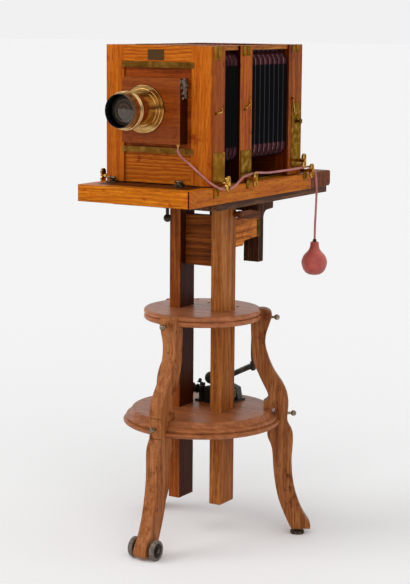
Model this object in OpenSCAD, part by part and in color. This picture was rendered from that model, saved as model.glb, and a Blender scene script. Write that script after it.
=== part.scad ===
// Studio portrait camera on a rolling three-legged stand.
// X runs across the camera, the lens faces -Y and Z points up from the floor.

/* [Stand] */
// Height of the upper disc's top above the floor
upper_top = 719; // [690:1:750]
// Radius of the upper disc
upper_r = 182; // [176:1:190]
// Thickness of the upper disc
upper_t = 33; // [26:1:40]
// Height of the lower disc's top above the floor
lower_top = 405; // [380:1:430]
// Radius of the lower disc at its widest
lower_r = 245; // [238:1:252]
// Thickness of the lower disc
lower_t = 47; // [40:1:54]
// Thickness of the three legs
leg_t = 42; // [34:1:48]
// Radius of the castor wheels
wheel_r = 31; // [26:1:34]
// Width of a castor wheel
wheel_w = 13.5; // [11:0.5:18]
// Distance of the castor axle from the stand's axis
castor_reach = 320; // [314:1:328]
// Radius of the castor axle
axle_r = 5; // [4:0.5:6]
// Radius of a levelling foot
foot_r = 22; // [18:1:26]
// Thickness of a levelling foot
foot_t = 12; // [8:1:14]
// Distance of the levelling feet from the stand's axis
foot_reach = 303.5; // [298:0.5:310]
// Radius of a levelling foot's screw
foot_screw_r = 6; // [4:0.5:8]
// Radius of the balls on the leg bolts
bolt_ball_r = 9; // [7:0.5:11]

/* [Column] */
// Width of a post
post_w = 39; // [34:1:44]
// Depth of a post, front to back
post_d = 83; // [76:1:90]
// Distance of a post's middle from the stand's axis
post_x = 74.5; // [70:0.5:80]
// Height of the posts' lower ends above the floor
post_bottom = 112; // [95:1:150]
// Height of the table's underside above the floor
table_z = 1051; // [1030:1:1090]
// Height of the cross board between the posts
cross_h = 156; // [120:1:170]
// Thickness of the cross board
cross_t = 25; // [18:1:32]
// Thickness of the cheeks behind the posts
cheek_t = 23; // [18:1:27]
// Reach of the cheeks behind the posts
cheek_reach = 145; // [130:1:145]

/* [Lift] */
// Height of the pinion shaft above the lower disc
lift_shaft_h = 40; // [38:1:44]
// Radius of the pinion shaft
lift_shaft_r = 5; // [4:0.5:5.5]
// Tooth size of the lift rack and pinion
lift_module = 2.5; // [2.5:0.5:2.5]
// Teeth of a lift pinion
lift_teeth = 12; // [12:1:13]
// Width of a lift rack
lift_rack_w = 12; // [9:1:16]
// Distance of the crank's grip from its spindle
crank_reach = 100; // [92:1:104]
// Length of the crank's turning grip
grip_len = 112; // [90:1:125]
// Radius of the crank's counterweight ball
crank_ball_r = 20; // [16:1:21]

/* [Table and bed] */
// Thickness of the table board
table_t = 21; // [16:1:26]
// Half width of the table board
table_half = 186; // [176:1:191]
// Width of the camera bed
bed_w = 385; // [380:1:390]
// Thickness of the camera bed
bed_h = 49; // [44:1:54]
// Reach of the bed in front of the stand's axis
bed_front = 392; // [375:1:400]
// Reach of the bed behind the stand's axis
bed_rear = 470; // [462:1:490]
// Width of the bed's side rails
rail_w = 33; // [28:1:35]
// Thickness of the board between the rails
panel_t = 20; // [16:1:24]
// Length of the walnut tail of the bed
tail_len = 133; // [110:1:140]
// Height of the guide tracks on the bed
track_h = 3; // [2:0.5:4]

/* [Frames] */
// Width of the three frames
frame_w = 366; // [362:1:370]
// Height of the three frames
frame_h = 400; // [392:1:408]
// Depth of the front frame
front_d = 75; // [68:1:80]
// Depth of the middle frame
middle_d = 70; // [60:1:72]
// Depth of the rear frame
rear_d = 83; // [80:1:88]
// Width of the front frame's stiles
stile_w = 67; // [62:1:72]
// Radius of the front frame's front corners
stile_round = 10; // [4:1:14]
// Width of the opening where the bellows meet the frames
throat_w = 276; // [264:1:278]
// Height of the opening where the bellows meet the frames
throat_h = 281; // [268:1:283]
// Width of the top bars that guide the frames
top_bar_w = 25; // [18:1:28]
// Height of the top bars
top_bar_h = 13; // [10:1:16]

/* [Bellows] */
// Width of the bellows over the folds
bellows_w = 300; // [290:1:304]
// Height of the bellows over the folds
bellows_h = 305; // [295:1:309]
// Depth of a fold
fold_depth = 9; // [6:0.5:10]
// Thickness of the bellows cloth
cloth_t = 1.2; // [1:0.1:2]
// Cut corner of the bellows
bellows_corner = 26; // [18:1:34]
// Folds of the front bellows
front_folds = 4; // [3:1:5]
// Folds of the rear bellows
rear_folds = 10; // [8:1:12]

/* [Focusing] */
// Radius of the focusing shafts
shaft_r = 4.5; // [3.5:0.5:5]
// Height of the focusing shafts above the frames' feet
shaft_h = 9; // [9:0.5:10]
// Tooth size of the focusing racks
focus_module = 1.5; // [1.5:0.5:1.5]
// Teeth of a focusing pinion
focus_teeth = 12; // [12:1:13]
// Width of a focusing rack
focus_rack_w = 10; // [8:1:12]
// Distance of the focusing racks from the camera's middle
focus_rack_x = 120; // [112:1:126]
// Radius of a thumb knob's two lobes
lobe_r = 12; // [9:0.5:13]
// Distance from a knob's middle to a lobe's middle
lobe_offset = 10; // [8:0.5:11]

/* [Lens and shutter] */
// Sideways place of the lens
lens_x = -23; // [-28:1:-12]
// Height of the lens above the frames' feet
lens_up = 217; // [212:1:222]
// Radius of the lens barrel
barrel_r = 46; // [42:0.5:48]
// Length of the lens barrel in front of the shutter box
barrel_len = 112; // [100:1:120]
// Radius of the brass flange
flange_r = 70.5; // [66:0.5:74]
// Radius of the double bead ring
bead_r = 57; // [54:0.5:60]
// Radius of the black hood
hood_r = 49.5; // [48:0.5:52]
// Length of the black hood
hood_len = 16; // [12:1:22]
// Width of the shutter box
box_w = 200; // [192:1:206]
// Height of the shutter box
box_h = 189; // [184:1:196]
// Depth of the shutter box
box_d = 42; // [38:1:46]
// Radius of the rubber hose
hose_r = 3.4; // [2.6:0.1:3.6]
// Radius of the rubber bulb
bulb_r = 41; // [34:1:46]

/* [Hidden] */
$fn = 48;
eps = 0.1;

// Fits
run_fit = 0.05;
seat = 0.3;
slot_gap = 0.5;

// Heights that follow from the driving sizes
bed_z = table_z + table_t;
bed_top = bed_z + bed_h;
frame_z = bed_top + track_h;
frame_top = frame_z + frame_h;
shaft_z = frame_z + shaft_h;
lens_z = frame_z + lens_up;
throat_z = frame_z + 223.5;
lift_shaft_z = lower_top + lift_shaft_h;

// Places along the camera
post_front = -44;
post_rear = post_front + post_d;
front_y = -262;
front_back = front_y + front_d;
middle_y = -100;
middle_back = middle_y + middle_d;
rear_y = 199;
rear_back = rear_y + rear_d;
tail_y = bed_rear - tail_len;
recess = 6;
panel_face = front_y + recess;
box_face = panel_face - box_d;
box_z0 = lens_z - box_h / 2 - 3.5;
lens_front = box_face - barrel_len - hood_len;
bed_mid = (bed_rear + lens_front) / 2;

// Gear values: shortened teeth keep the small pinions free of undercut
pressure = 20;
rack_add = 0.65;
pinion_add = 0.9;
tooth_gap = 0.2;
backlash = 0.12;
focus_pitch_r = focus_module * focus_teeth / 2;
lift_pitch_r = lift_module * lift_teeth / 2;
focus_pitch = PI * focus_module;
lift_pitch = PI * lift_module;
front_shaft_y = -224;
middle_shaft_y = -65;
rear_shaft_y = middle_shaft_y + 76 * focus_pitch;
lift_rack_base = 4;
lift_pitch_y = post_rear + lift_rack_base + (pinion_add + tooth_gap) * lift_module;
lift_shaft_y = lift_pitch_y + lift_pitch_r;

// Crank
crank_y = 136;
crank_turn = 54;
crank_hub_z = lower_top + 66;
crank_ball_reach = 46;
crank_ball_z = lower_top + 71;
crank_boss_z = lower_top + 100;
crank_boss_r = 9.5;
crank_boss_h = 26;
spindle_r = 6;
grip_pin_r = 3;

// Hinge between the posts and the table
hinge_r = 4.7;
hinge_pin_r = 2;
hinge_drop = 5;
hinge_y = post_front - hinge_drop;
hinge_z = table_z - hinge_drop;

// Hose route from the nipple to the bulb's neck, with heights above the top of the bed
hose_points = [[86, -285, 110], [87, -285, 99], [98, -280, 83], [119, -273, 65],
    [140, -270, 48], [162, -268, 31], [180, -268, 18], [192, -262, 9],
    [199, -250, 2], [200, -236, -2], [200, -210, -6], [200, -180, -7],
    [200, -150, 0], [200, -125, 12], [200, -104, 21], [200, -70, 25],
    [200, -28, 28], [200, 45, 23], [200, 143, 22], [200, 211, 22],
    [200, 285, 23], [203, 307, 22], [210, 321, 13], [214, 327, -3],
    [215, 331, -31], [215, 334, -59], [215, 332, -106], [215, 328, -161], [215, 327, -208]];
bulb_top = hose_points[len(hose_points) - 1];

module place() {
    translate([0, -bed_mid, 0])
        children();
}

// A smooth curve through the given points
function spline(p, n) = [
    for (i = [0 : len(p) - 2])
        for (k = [0 : n - 1])
            let (t = k / n, a = p[max(i - 1, 0)], b = p[i], c = p[i + 1], d = p[min(i + 2, len(p) - 1)])
                0.5 * (2 * b + (c - a) * t + (2 * a - 5 * b + 4 * c - d) * t * t
                    + (3 * b - a - 3 * c + d) * t * t * t),
    p[len(p) - 1]];

// Points along an arc
function arc(c, r, a0, a1, n) = [
    for (i = [0 : n])
        let (a = a0 + (a1 - a0) * i / n)
            [c[0] + r * cos(a), c[1] + r * sin(a)]];

// A bar along X, centred
module bar_x(len, r) {
    rotate([0, 90, 0])
        cylinder(h = len, r = r, center = true);
}

// A box centred on X
module block(w, d, h) {
    translate([-w / 2, 0, 0])
        cube([w, d, h]);
}

// A turned ball
module ball(r) {
    rotate_extrude()
        polygon(concat([[0, -r]], arc([0, 0], r, -80, 80, 12), [[0, r]]));
}

module both_sides() {
    children();
    mirror([1, 0, 0])
        children();
}

// An outline in the Y-Z plane, extruded along X from x0
module side_shape(x0, t) {
    translate([x0, 0, 0])
        rotate([90, 0, 90])
            linear_extrude(t)
                children();
}

// Teeth

function inv(a) = tan(a) * 180 / PI - a;

function half_angle(m, n, r) =
    let (pr = m * n / 2, br = pr * cos(pressure), s = PI * m / 2 - backlash * m)
        s / (2 * pr) * 180 / PI + inv(pressure) - inv(acos(min(1, br / max(r, br))));

function pinion_outline(m, n) =
    let (pr = m * n / 2, br = pr * cos(pressure), tip = pr + pinion_add * m,
        root = pr - (rack_add + tooth_gap) * m,
        rs = [root, br, br + (tip - br) / 3, br + (tip - br) * 2 / 3, tip])
        [for (i = [0 : n - 1])
            for (k = [0 : 9])
                let (r = k < 5 ? rs[k] : rs[9 - k], h = half_angle(m, n, r),
                    a = 360 * i / n + (k < 5 ? -h : h))
                    [r * cos(a), r * sin(a)]];

// Rack teeth along the first axis, with a space centred at zero
function rack_outline(m, first, last, base) =
    let (p = PI * m, add = rack_add * m, ded = (pinion_add + tooth_gap) * m,
        top = p / 4 - add * tan(pressure), bot = p / 4 + ded * tan(pressure))
        concat(
            [[(first + 0.5) * p - bot - 1, -ded - base], [(first + 0.5) * p - bot - 1, -ded]],
            [for (i = [first : last])
                for (q = [[-bot, -ded], [-top, add], [top, add], [bot, -ded]])
                    [(i + 0.5) * p + q[0], q[1]]],
            [[(last + 0.5) * p + bot + 1, -ded], [(last + 0.5) * p + bot + 1, -ded - base]]);

// Thumb knob with two dished lobes, its hub starting at the origin along +X
knob_neck = 11;
knob_plate = 5;
knob_hub_r = 6.5;
module thumb_knob(hub) {
    bar_end(hub + knob_neck + knob_plate + 3, knob_hub_r);
    translate([hub + knob_neck, 0, 0])
        difference() {
            rotate([90, 0, 90])
                linear_extrude(knob_plate)
                    union() {
                        for (s = [-1, 1])
                            translate([0, s * lobe_offset])
                                circle(r = lobe_r);
                    }
            for (s = [-1, 1])
                translate([knob_plate - 1.5, 0, s * (lobe_offset + 1)])
                    bar_end(knob_plate, lobe_r - 3.5);
        }
}

// A bar along X that starts at the origin
module bar_end(len, r) {
    rotate([0, 90, 0])
        cylinder(h = len, r = r);
}

// Through shaft with a pinion above each rack and a thumb knob at both ends
knob_start = 204;
module cross_shaft(pinions) {
    bar_x(2 * knob_start, shaft_r);
    if (pinions)
        both_sides()
            translate([focus_rack_x - focus_rack_w / 2, 0, 0])
                rotate([0, 90, 0])
                    linear_extrude(focus_rack_w)
                        polygon(pinion_outline(focus_module, focus_teeth));
    both_sides()
        translate([knob_start - eps, 0, 0])
            thumb_knob(0);
}

// Stand

leg_foot_z = 20;
castor_out = castor_reach - lower_r - 65;
leg_seat = 0.3;
upper_notch = 9;
lower_notch = 18;

// Side outline of a leg: radius from the stand's axis, then height
function leg_outline(out, foot_z) = concat(
    spline([[upper_r + 2, upper_top + 1], [upper_r + 17, upper_top - 1],
        [upper_r + 29, upper_top - 9], [upper_r + 32, upper_top - 22],
        [upper_r + 26, upper_top - 42], [upper_r + 14, upper_top - 84],
        [upper_r + 16, upper_top - 127], [upper_r + 39, lower_top + 125],
        [lower_r + 10, lower_top + 72], [lower_r + 24, lower_top + 27],
        [lower_r + 22, lower_top - 40], [lower_r + 40, lower_top - 83],
        [lower_r + 37 + out / 2, 236], [lower_r + 47 + out, 149], [lower_r + 71 + out, 80],
        [lower_r + 97 + out, 36], [lower_r + 97 + out, foot_z]], 4),
    spline([[lower_r + 40 + out, foot_z], [lower_r + 29 + out, 40], [lower_r - 1 + out, 113],
        [lower_r - 17 + out / 2, 191], [lower_r - 25, 278], [lower_r - 40, lower_top - 84],
        [lower_r - 36, lower_top - lower_t]], 4),
    [[lower_r - lower_notch + leg_seat, lower_top - lower_t],
        [lower_r - lower_notch + leg_seat, lower_top],
        [lower_r - 52, lower_top]],
    spline([[lower_r - 52, lower_top + 21], [lower_r - 38, lower_top + 41],
        [upper_r - 4, lower_top + 104], [upper_r - 26, upper_top - 152],
        [upper_r - 32, upper_top - 66], [upper_r - 32, upper_top - upper_t]], 4),
    [[upper_r - upper_notch + leg_seat, upper_top - upper_t],
        [upper_r - upper_notch + leg_seat, upper_top]]);

// Two scored lines cross the leg's front above and below the lower disc
score = 3;
upper_bolt_z = upper_top - 28;
lower_bolt_z = lower_top - 17;
bolt_r = 4;

module leg(turn, out, foot_z) {
    rotate([0, 0, turn])
        difference() {
            translate([0, leg_t / 2, 0])
                rotate([90, 0, 0])
                    linear_extrude(leg_t)
                        difference() {
                            polygon(leg_outline(out, foot_z));
                            for (z = [lower_top + 14, lower_top - 48])
                                translate([lower_r + 23, z])
                                    rotate(45)
                                        square(score, center = true);
                        }
            translate([upper_r - upper_notch - 10, 0, upper_bolt_z])
                bar_end(80, bolt_r + run_fit);
            translate([lower_r - lower_notch - 10, 0, lower_bolt_z])
                bar_end(80, bolt_r + run_fit);
            children();
        }
}

foot_bore_depth = 44;

module leg_front() {
    color("saddlebrown")
        leg(-90, castor_out, 12)
            translate([castor_reach, 0, wheel_r])
                rotate([90, 0, 0])
                    cylinder(h = 2 * leg_t, r = axle_r + run_fit, center = true);
}

module leg_side(turn) {
    color("saddlebrown")
        leg(turn, 0, leg_foot_z)
            translate([foot_reach, 0, leg_foot_z - eps])
                cylinder(h = foot_bore_depth, r = foot_screw_r + run_fit);
}

module leg_right() {
    leg_side(30);
}

module leg_left() {
    leg_side(150);
}

module post_slots(z0, t, racks) {
    both_sides() {
        translate([post_x - post_w / 2 - slot_gap, post_front - slot_gap, z0 - 1])
            cube([post_w + 2 * slot_gap, post_d + 2 * slot_gap, t + 2]);
        if (racks)
            translate([post_x - lift_rack_w / 2 - slot_gap, post_rear, z0 - 1])
                cube([lift_rack_w + 2 * slot_gap, lift_pitch_y - post_rear + 3, t + 2]);
    }
}

// Notches in a disc's edge that the legs are let into
module leg_notches(r, notch, z0, t) {
    for (turn = [-90, 30, 150])
        rotate([0, 0, turn])
            translate([r - notch, -leg_t / 2 - leg_seat, z0 - 1])
                cube([notch + 10, leg_t + 2 * leg_seat, t + 2]);
}

// The upper disc's edge is two half rounds, one above the other
module upper_disc() {
    half = upper_t / 4;
    color("sienna")
        difference() {
            rotate_extrude($fn = 96)
                polygon(concat([[0, upper_top - upper_t], [0, upper_top]],
                    arc([upper_r - half, upper_top - half], half, 90, -90, 6),
                    arc([upper_r - half, upper_top - 3 * half], half, 80, -90, 6)));
            post_slots(upper_top - upper_t, upper_t, false);
            leg_notches(upper_r, upper_notch, upper_top - upper_t, upper_t);
        }
}

// The lower disc's edge has a small round, a cove, a bead and a foot
lower_step = 26;
module lower_disc() {
    flat_r = lower_r - lower_step;
    color("sienna")
        difference() {
            rotate_extrude($fn = 96)
                polygon(concat([[0, lower_top - lower_t], [0, lower_top]],
                    arc([flat_r - 5, lower_top - 5], 5, 90, 0, 4),
                    arc([flat_r + 10, lower_top - 8], 10, 190, 270, 4),
                    arc([lower_r - 15, lower_top - 25], 7, 90, -60, 5),
                    [[lower_r - 6, lower_top - 32]],
                    arc([lower_r - 6, lower_top - 38], 6, 70, -60, 4),
                    [[lower_r - 9, lower_top - lower_t]]));
            post_slots(lower_top - lower_t, lower_t, true);
            leg_notches(lower_r, lower_notch, lower_top - lower_t, lower_t);
        }
}

// Six leg bolts with ball heads and three screw heads on the upper disc
bolt_out = 17;
disc_screws = [[-94, 122], [-30, 87], [81, 77]];
module leg_bolt(r0, r1, z) {
    translate([r0, 0, z])
        bar_end(r1 - r0, bolt_r);
    translate([r1, 0, z])
        ball(bolt_ball_r);
}

module stand_bolts() {
    color("darkkhaki") {
        for (turn = [-90, 30, 150])
            rotate([0, 0, turn]) {
                leg_bolt(upper_r - upper_notch + leg_seat, upper_r + 31 + bolt_out, upper_bolt_z);
                leg_bolt(lower_r - lower_notch + leg_seat, lower_r + 24 + bolt_out, lower_bolt_z);
            }
        for (p = disc_screws)
            translate([p[0], p[1], upper_top])
                cylinder(h = 2, r1 = 6, r2 = 4.5);
    }
}

wheel_gap = 10;
wheel_side = 0.3;
axle_head = 3;

module wheel_axle() {
    reach = leg_t / 2 + wheel_gap + wheel_w + wheel_side;
    color("dimgray")
        translate([0, -castor_reach, wheel_r]) {
            bar_x(2 * reach + 2 * axle_head, axle_r);
            both_sides() {
                translate([reach, 0, 0])
                    bar_end(axle_head, axle_r + 3);
                translate([leg_t / 2, 0, 0])
                    bar_end(wheel_gap - wheel_side, axle_r + 4);
            }
        }
}

// Half profile of a wheel: a hub, a thin web and a rounded rim
module wheel() {
    hub = axle_r + 6;
    rim = wheel_r - 8;
    h = wheel_w / 2;
    color("rosybrown")
        rotate([0, 90, 0])
            rotate_extrude($fn = 72)
                polygon([[axle_r + run_fit, -h], [hub, -h], [hub + 1, -h + 3], [rim - 1, -h + 3],
                    [rim, -h], [wheel_r - 2, -h], [wheel_r, -h + 2], [wheel_r, h - 2],
                    [wheel_r - 2, h], [rim, h], [rim - 1, h - 3], [hub + 1, h - 3], [hub, h],
                    [axle_r + run_fit, h]]);
}

module wheel_at(side) {
    translate([side * (leg_t / 2 + wheel_gap + wheel_w / 2), -castor_reach, wheel_r])
        wheel();
}

module wheel_left() {
    wheel_at(-1);
}

module wheel_right() {
    wheel_at(1);
}

// A levelling foot: a turned disc with a screw that goes up into the leg
module foot(turn) {
    top = foot_screw_r;
    color("dimgray")
        rotate([0, 0, turn])
            translate([foot_reach, 0, 0])
                rotate_extrude()
                    polygon([[0, 0], [foot_r - 1.5, 0], [foot_r, 1.5], [foot_r, foot_t - 3],
                        [foot_r - 3, foot_t], [top + 4, foot_t], [top + 2, foot_t + 5],
                        [top, foot_t + 5], [top, leg_foot_z + foot_bore_depth - 3],
                        [0, leg_foot_z + foot_bore_depth - 3]]);
}

module foot_left() {
    foot(150);
}

module foot_right() {
    foot(30);
}

// Cast frame of the lift on the lower disc: base, two bearings between the posts, the closed
// gear housing and the crank's web
base_t = 6;
base_half = 64;
base_front = 62;
bearing_x = 38;
web_t = 28;
bearing_t = 9;
housing_w = 46;
housing_h = 44;
base_y0 = 52;
base_y1 = 160;

module bearing_outline() {
    difference() {
        polygon(concat([[base_y0, lower_top], [base_y0, lower_top + 12]],
            arc([lift_shaft_y, lift_shaft_z], 12, 200, -10, 10),
            [[lift_shaft_y + 20, lower_top + 12], [lift_shaft_y + 34, lower_top]]));
        translate([lift_shaft_y, lift_shaft_z])
            circle(r = lift_shaft_r + run_fit);
    }
}

module gear_frame() {
    color([0.12, 0.12, 0.12])
        difference() {
            union() {
                translate([0, base_front, lower_top])
                    block(2 * base_half, base_y1 - base_front, base_t);
                translate([0, crank_y + web_t / 2, lower_top])
                    rotate([90, 0, 0])
                        linear_extrude(web_t)
                            polygon([[-base_half + 20, 0], [base_half - 3, 0], [base_half - 11, 42],
                                [20, 54], [-20, 54], [-base_half + 24, 30]]);
                both_sides()
                    side_shape(bearing_x - bearing_t / 2, bearing_t)
                        bearing_outline();
                side_shape(-housing_w / 2, housing_w)
                    polygon(concat([[base_y0, lower_top]],
                        arc([base_y0 + 10, lower_top + housing_h - 2], 10, 180, 100, 4),
                        arc([base_y1 - 14, lower_top + housing_h - 10], 10, 90, 0, 4),
                        [[base_y1 - 4, lower_top]]));
                translate([0, crank_y, lower_top])
                    cylinder(h = crank_hub_z - 9 - lower_top, r = spindle_r + 6);
                for (x = [pawl_x - pawl_ear - pawl_ear_t, pawl_x + pawl_ear])
                    translate([x, pawl_y - 6, lower_top])
                        cube([pawl_ear_t, 12, pawl_z - lower_top + 5]);
            }
            translate([pawl_x, pawl_y, pawl_z])
                bar_x(2 * (pawl_ear + pawl_ear_t) + 1, pawl_pin_r + run_fit);
            translate([0, lift_shaft_y, lift_shaft_z])
                bar_x(2 * bearing_x + 20, lift_shaft_r + run_fit);
            translate([0, crank_y, lower_top + base_t])
                cylinder(h = crank_hub_z - lower_top, r = spindle_r + run_fit);
        }
}

// Column

module post(side) {
    c = 1.5;
    w = post_w / 2;
    color("peru")
        translate([side * post_x, 0, post_bottom])
            linear_extrude(table_z - seat - post_bottom)
                polygon([[-w + c, post_front], [w - c, post_front], [w, post_front + c],
                    [w, post_rear - c], [w - c, post_rear], [-w + c, post_rear],
                    [-w, post_rear - c], [-w, post_front + c]]);
}

lever_y = 28;
lever_drop = 38;
lever_bolt_r = 5;

module post_left() {
    post(-1);
}

module post_right() {
    difference() {
        post(1);
        translate([post_x, lever_y, table_z - lever_drop])
            bar_end(post_w, lever_bolt_r + run_fit);
    }
}

cross_y = -13;
cross_drop = 43;
module cross_board() {
    color("saddlebrown")
        translate([0, cross_y, table_z - cross_drop - cross_h])
            block(2 * post_x - post_w, cross_t, cross_h);
}

// Cheeks with a sloped top and a stepped lower edge
module cheeks() {
    top = table_z - 51;
    color("saddlebrown")
        both_sides()
            side_shape(post_x + post_w / 2 - cheek_t, cheek_t)
                polygon([[post_rear, top], [post_rear + cheek_reach, top - 15],
                    [post_rear + cheek_reach, top - 70], [post_rear + 52, top - 75],
                    [post_rear + 42, top - 90], [post_rear, top - 90]]);
}

// Hinge knuckles: outer thirds on the posts, the middle third under the table
leaf_t = 2.5;
leaf_h = 16;
knuckle_gap = 0.4;
knuckle = (post_w - 2 * knuckle_gap) / 3;

module knuckle_at(shift) {
    translate([post_x + shift - knuckle / 2, hinge_y, hinge_z])
        bar_end(knuckle, hinge_r);
}

strap_t = 1.5;
module column_brass() {
    end = post_rear + cheek_reach;
    out = post_x + post_w / 2;
    top = table_z - 68;
    color("darkgoldenrod")
        both_sides() {
            translate([post_x - post_w / 2, post_front - leaf_t, hinge_z - leaf_h])
                cube([post_w, leaf_t, leaf_h - hinge_r - 1]);
            for (s = [-1, 1]) {
                knuckle_at(s * (knuckle + knuckle_gap));
                translate([post_x + s * (knuckle + knuckle_gap) - knuckle / 2,
                    post_front - leaf_t, hinge_z - hinge_r - 2])
                        cube([knuckle, leaf_t, hinge_r + 2]);
            }
            translate([post_x, hinge_y, hinge_z])
                bar_x(post_w - knuckle_gap, hinge_pin_r);
            translate([out, end - 16, top - 52])
                cube([strap_t, 16 + strap_t, 52]);
            translate([out - cheek_t, end, top - 52])
                cube([cheek_t + strap_t, strap_t, 52]);
        }
}

// Lift racks on the rear faces of the posts
lift_up = 140;
lift_down = 80;
module lift_racks() {
    first = -ceil(lift_up / lift_pitch) - 2;
    last = ceil(lift_down / lift_pitch);
    color("dimgray")
        both_sides()
            translate([post_x + lift_rack_w / 2, lift_pitch_y, lift_shaft_z])
                rotate([0, -90, 0])
                    linear_extrude(lift_rack_w)
                        polygon(rack_outline(lift_module, first, last, lift_rack_base));
}

// Lift drive

ratchet_x = -54;
ratchet_r = 15;
pawl_x = -54;
pawl_y = 92;
pawl_z = lower_top + 48;
pawl_ear = 3.5;
pawl_ear_t = 3;

module pinion_shaft() {
    color("dimgray")
        translate([0, lift_shaft_y, lift_shaft_z]) {
            bar_x(2 * post_x + lift_rack_w + 6, lift_shaft_r);
            both_sides()
                translate([post_x - lift_rack_w / 2, 0, 0])
                    rotate([0, 90, 0])
                        linear_extrude(lift_rack_w)
                            rotate(180)
                                polygon(pinion_outline(lift_module, lift_teeth));
            translate([ratchet_x - 3, 0, 0])
                rotate([90, 0, 90])
                    linear_extrude(6)
                        polygon([for (i = [0 : 11])
                            for (q = [[ratchet_r - 4, 0], [ratchet_r, 26]])
                                [q[0] * cos(30 * i + q[1]), q[0] * sin(30 * i + q[1])]]);
        }
}

// Crank: counterweight ball, hub, rising arm and the boss of the grip
module crank_arm() {
    hub = crank_hub_z;
    color([0.12, 0.12, 0.12])
        translate([0, crank_y, 0])
            rotate([0, 0, crank_turn])
                difference() {
                    union() {
                        translate([-crank_ball_reach, 0, crank_ball_z])
                            ball(crank_ball_r);
                        translate([0, 0, hub - 8])
                            cylinder(h = 20, r = 13);
                        translate([0, 5.5, 0])
                            rotate([90, 0, 0])
                                linear_extrude(11)
                                    polygon([[-crank_ball_reach, hub - 3], [0, hub - 6],
                                        [crank_reach - 3, crank_boss_z - 8],
                                        [crank_reach - 3, crank_boss_z + 8], [0, hub + 9],
                                        [-crank_ball_reach, hub + 11]]);
                        translate([crank_reach, 0, crank_boss_z - crank_boss_h / 2])
                            cylinder(h = crank_boss_h, r = crank_boss_r);
                        translate([0, 0, lower_top + base_t + 1])
                            cylinder(h = hub - lower_top - base_t - 2, r = spindle_r);
                    }
                    translate([crank_reach, 0, crank_boss_z - crank_boss_h / 2 - 1])
                        cylinder(h = crank_boss_h + 2, r = grip_pin_r + run_fit);
                }
}

// Turned grip that spins on the crank's boss
module crank_grip() {
    z = crank_boss_z + crank_boss_h / 2;
    color([0.12, 0.12, 0.12])
        translate([0, crank_y, 0])
            rotate([0, 0, crank_turn])
                translate([crank_reach, 0, z + seat])
                    rotate_extrude()
                        polygon(concat([[0, -crank_boss_h - 2 * seat - 3], [6, -crank_boss_h - 2 * seat - 3],
                            [6, -crank_boss_h - 2 * seat], [grip_pin_r, -crank_boss_h - 2 * seat],
                            [grip_pin_r, 0], [6, 0]],
                            spline([[6, 4], [7.5, 14], [8, grip_len * 0.45], [6.5, grip_len * 0.8],
                                [7, grip_len - 3]], 3),
                            [[5, grip_len], [0, grip_len]]));
}

// Pawl that drops into the ratchet wheel, with a round pad for the finger
pawl_pin_r = 3;
module pawl() {
    reach = pawl_y - lift_shaft_y;
    color([0.12, 0.12, 0.12])
        translate([pawl_x, pawl_y, pawl_z]) {
            side_shape(-3, 6)
                union() {
                    circle(r = 5.5);
                    polygon([[-2, 5], [-reach + 6, ratchet_r - 5], [-reach + 3, ratchet_r - 2],
                        [-reach + 8, ratchet_r], [4, 5], [2, -5], [-4, -4]]);
                    translate([-reach / 2, ratchet_r + 1])
                        circle(r = 6);
                }
            bar_x(2 * (pawl_ear + pawl_ear_t), pawl_pin_r);
        }
}

// Wooden clamp lever on a bolt through the right post
lever_x = 108;
lever_t = 12;
lever_len = 110;
module lock_lever() {
    z = table_z - lever_drop;
    color("peru")
        translate([0, lever_y, z]) {
            side_shape(lever_x, lever_t)
                polygon(concat(arc([0, 0], 11, 60, 300, 10), [[lever_len / 2, -19]],
                    arc([lever_len, -10], 9, -80, 80, 10), [[lever_len / 2, 10]]));
            translate([post_x, 0, 0])
                bar_end(lever_x - post_x + lever_t + 3, lever_bolt_r);
            translate([post_x + post_w / 2 + seat, 0, 0])
                bar_end(lever_x - post_x - post_w / 2, 9);
        }
}

// Table

table_front = -241;
table_rear = bed_rear - 12;
clamp_y = -205;
clamp_r = 5;

module table_board() {
    color("saddlebrown")
        translate([0, 0, table_z])
            difference() {
                linear_extrude(table_t)
                    polygon([[-table_half + 18, table_front], [table_half - 18, table_front],
                        [table_half, table_front + 14], [table_half, table_rear],
                        [-table_half, table_rear], [-table_half, table_front + 14]]);
                translate([0, clamp_y, -1])
                    cylinder(h = table_t + 2, r = clamp_r + run_fit);
            }
}

// Arms that hang from the rear of the table behind the cheeks, with a batten between them
arm_x = 37;
arm_w = 53;
arm_t = 30;
arm_len = 205;
arm_flare = 62;
batten_w = 22;
batten_h = 46;
module table_arms() {
    y = post_rear + cheek_reach + strap_t + slot_gap;
    color([0.25, 0.13, 0.08]) {
        both_sides()
            side_shape(arm_x, arm_w)
                polygon(concat([[y, table_z - arm_len], [y + arm_t, table_z - arm_len]],
                    arc([y + arm_t + 25, table_z - 69], 25, 180, 100, 7),
                    [[y + arm_t + arm_flare, table_z - 42], [y + arm_t + arm_flare, table_z],
                        [y, table_z]]));
        translate([0, y, table_z - batten_h])
            block(2 * arm_x + 2, batten_w, batten_h);
    }
}

module table_hinges() {
    color("darkgoldenrod")
        both_sides()
            difference() {
                union() {
                    knuckle_at(0);
                    translate([post_x - post_w / 2, hinge_y - 43, table_z - leaf_t])
                        cube([post_w, 36, leaf_t]);
                    translate([post_x - knuckle / 2, hinge_y - 8, table_z - leaf_t])
                        cube([knuckle, 8, leaf_t - seat]);
                }
                translate([post_x, hinge_y, hinge_z])
                    bar_x(post_w, hinge_pin_r + run_fit);
            }
}

// Black clamp screw with a ball under the front of the table
ball_r = 12;
ball_drop = 34;
module bed_clamp() {
    color([0.1, 0.1, 0.1])
        translate([0, clamp_y, 0]) {
            translate([0, 0, table_z - ball_drop])
                ball(ball_r);
            translate([0, 0, table_z - ball_drop])
                cylinder(h = ball_drop + table_t - seat, r = clamp_r);
            translate([0, 0, table_z - seat - 4])
                cylinder(h = 4, r = 11);
        }
}

// Camera bed

front_rail_d = 40;
chamfer = 7;

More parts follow.
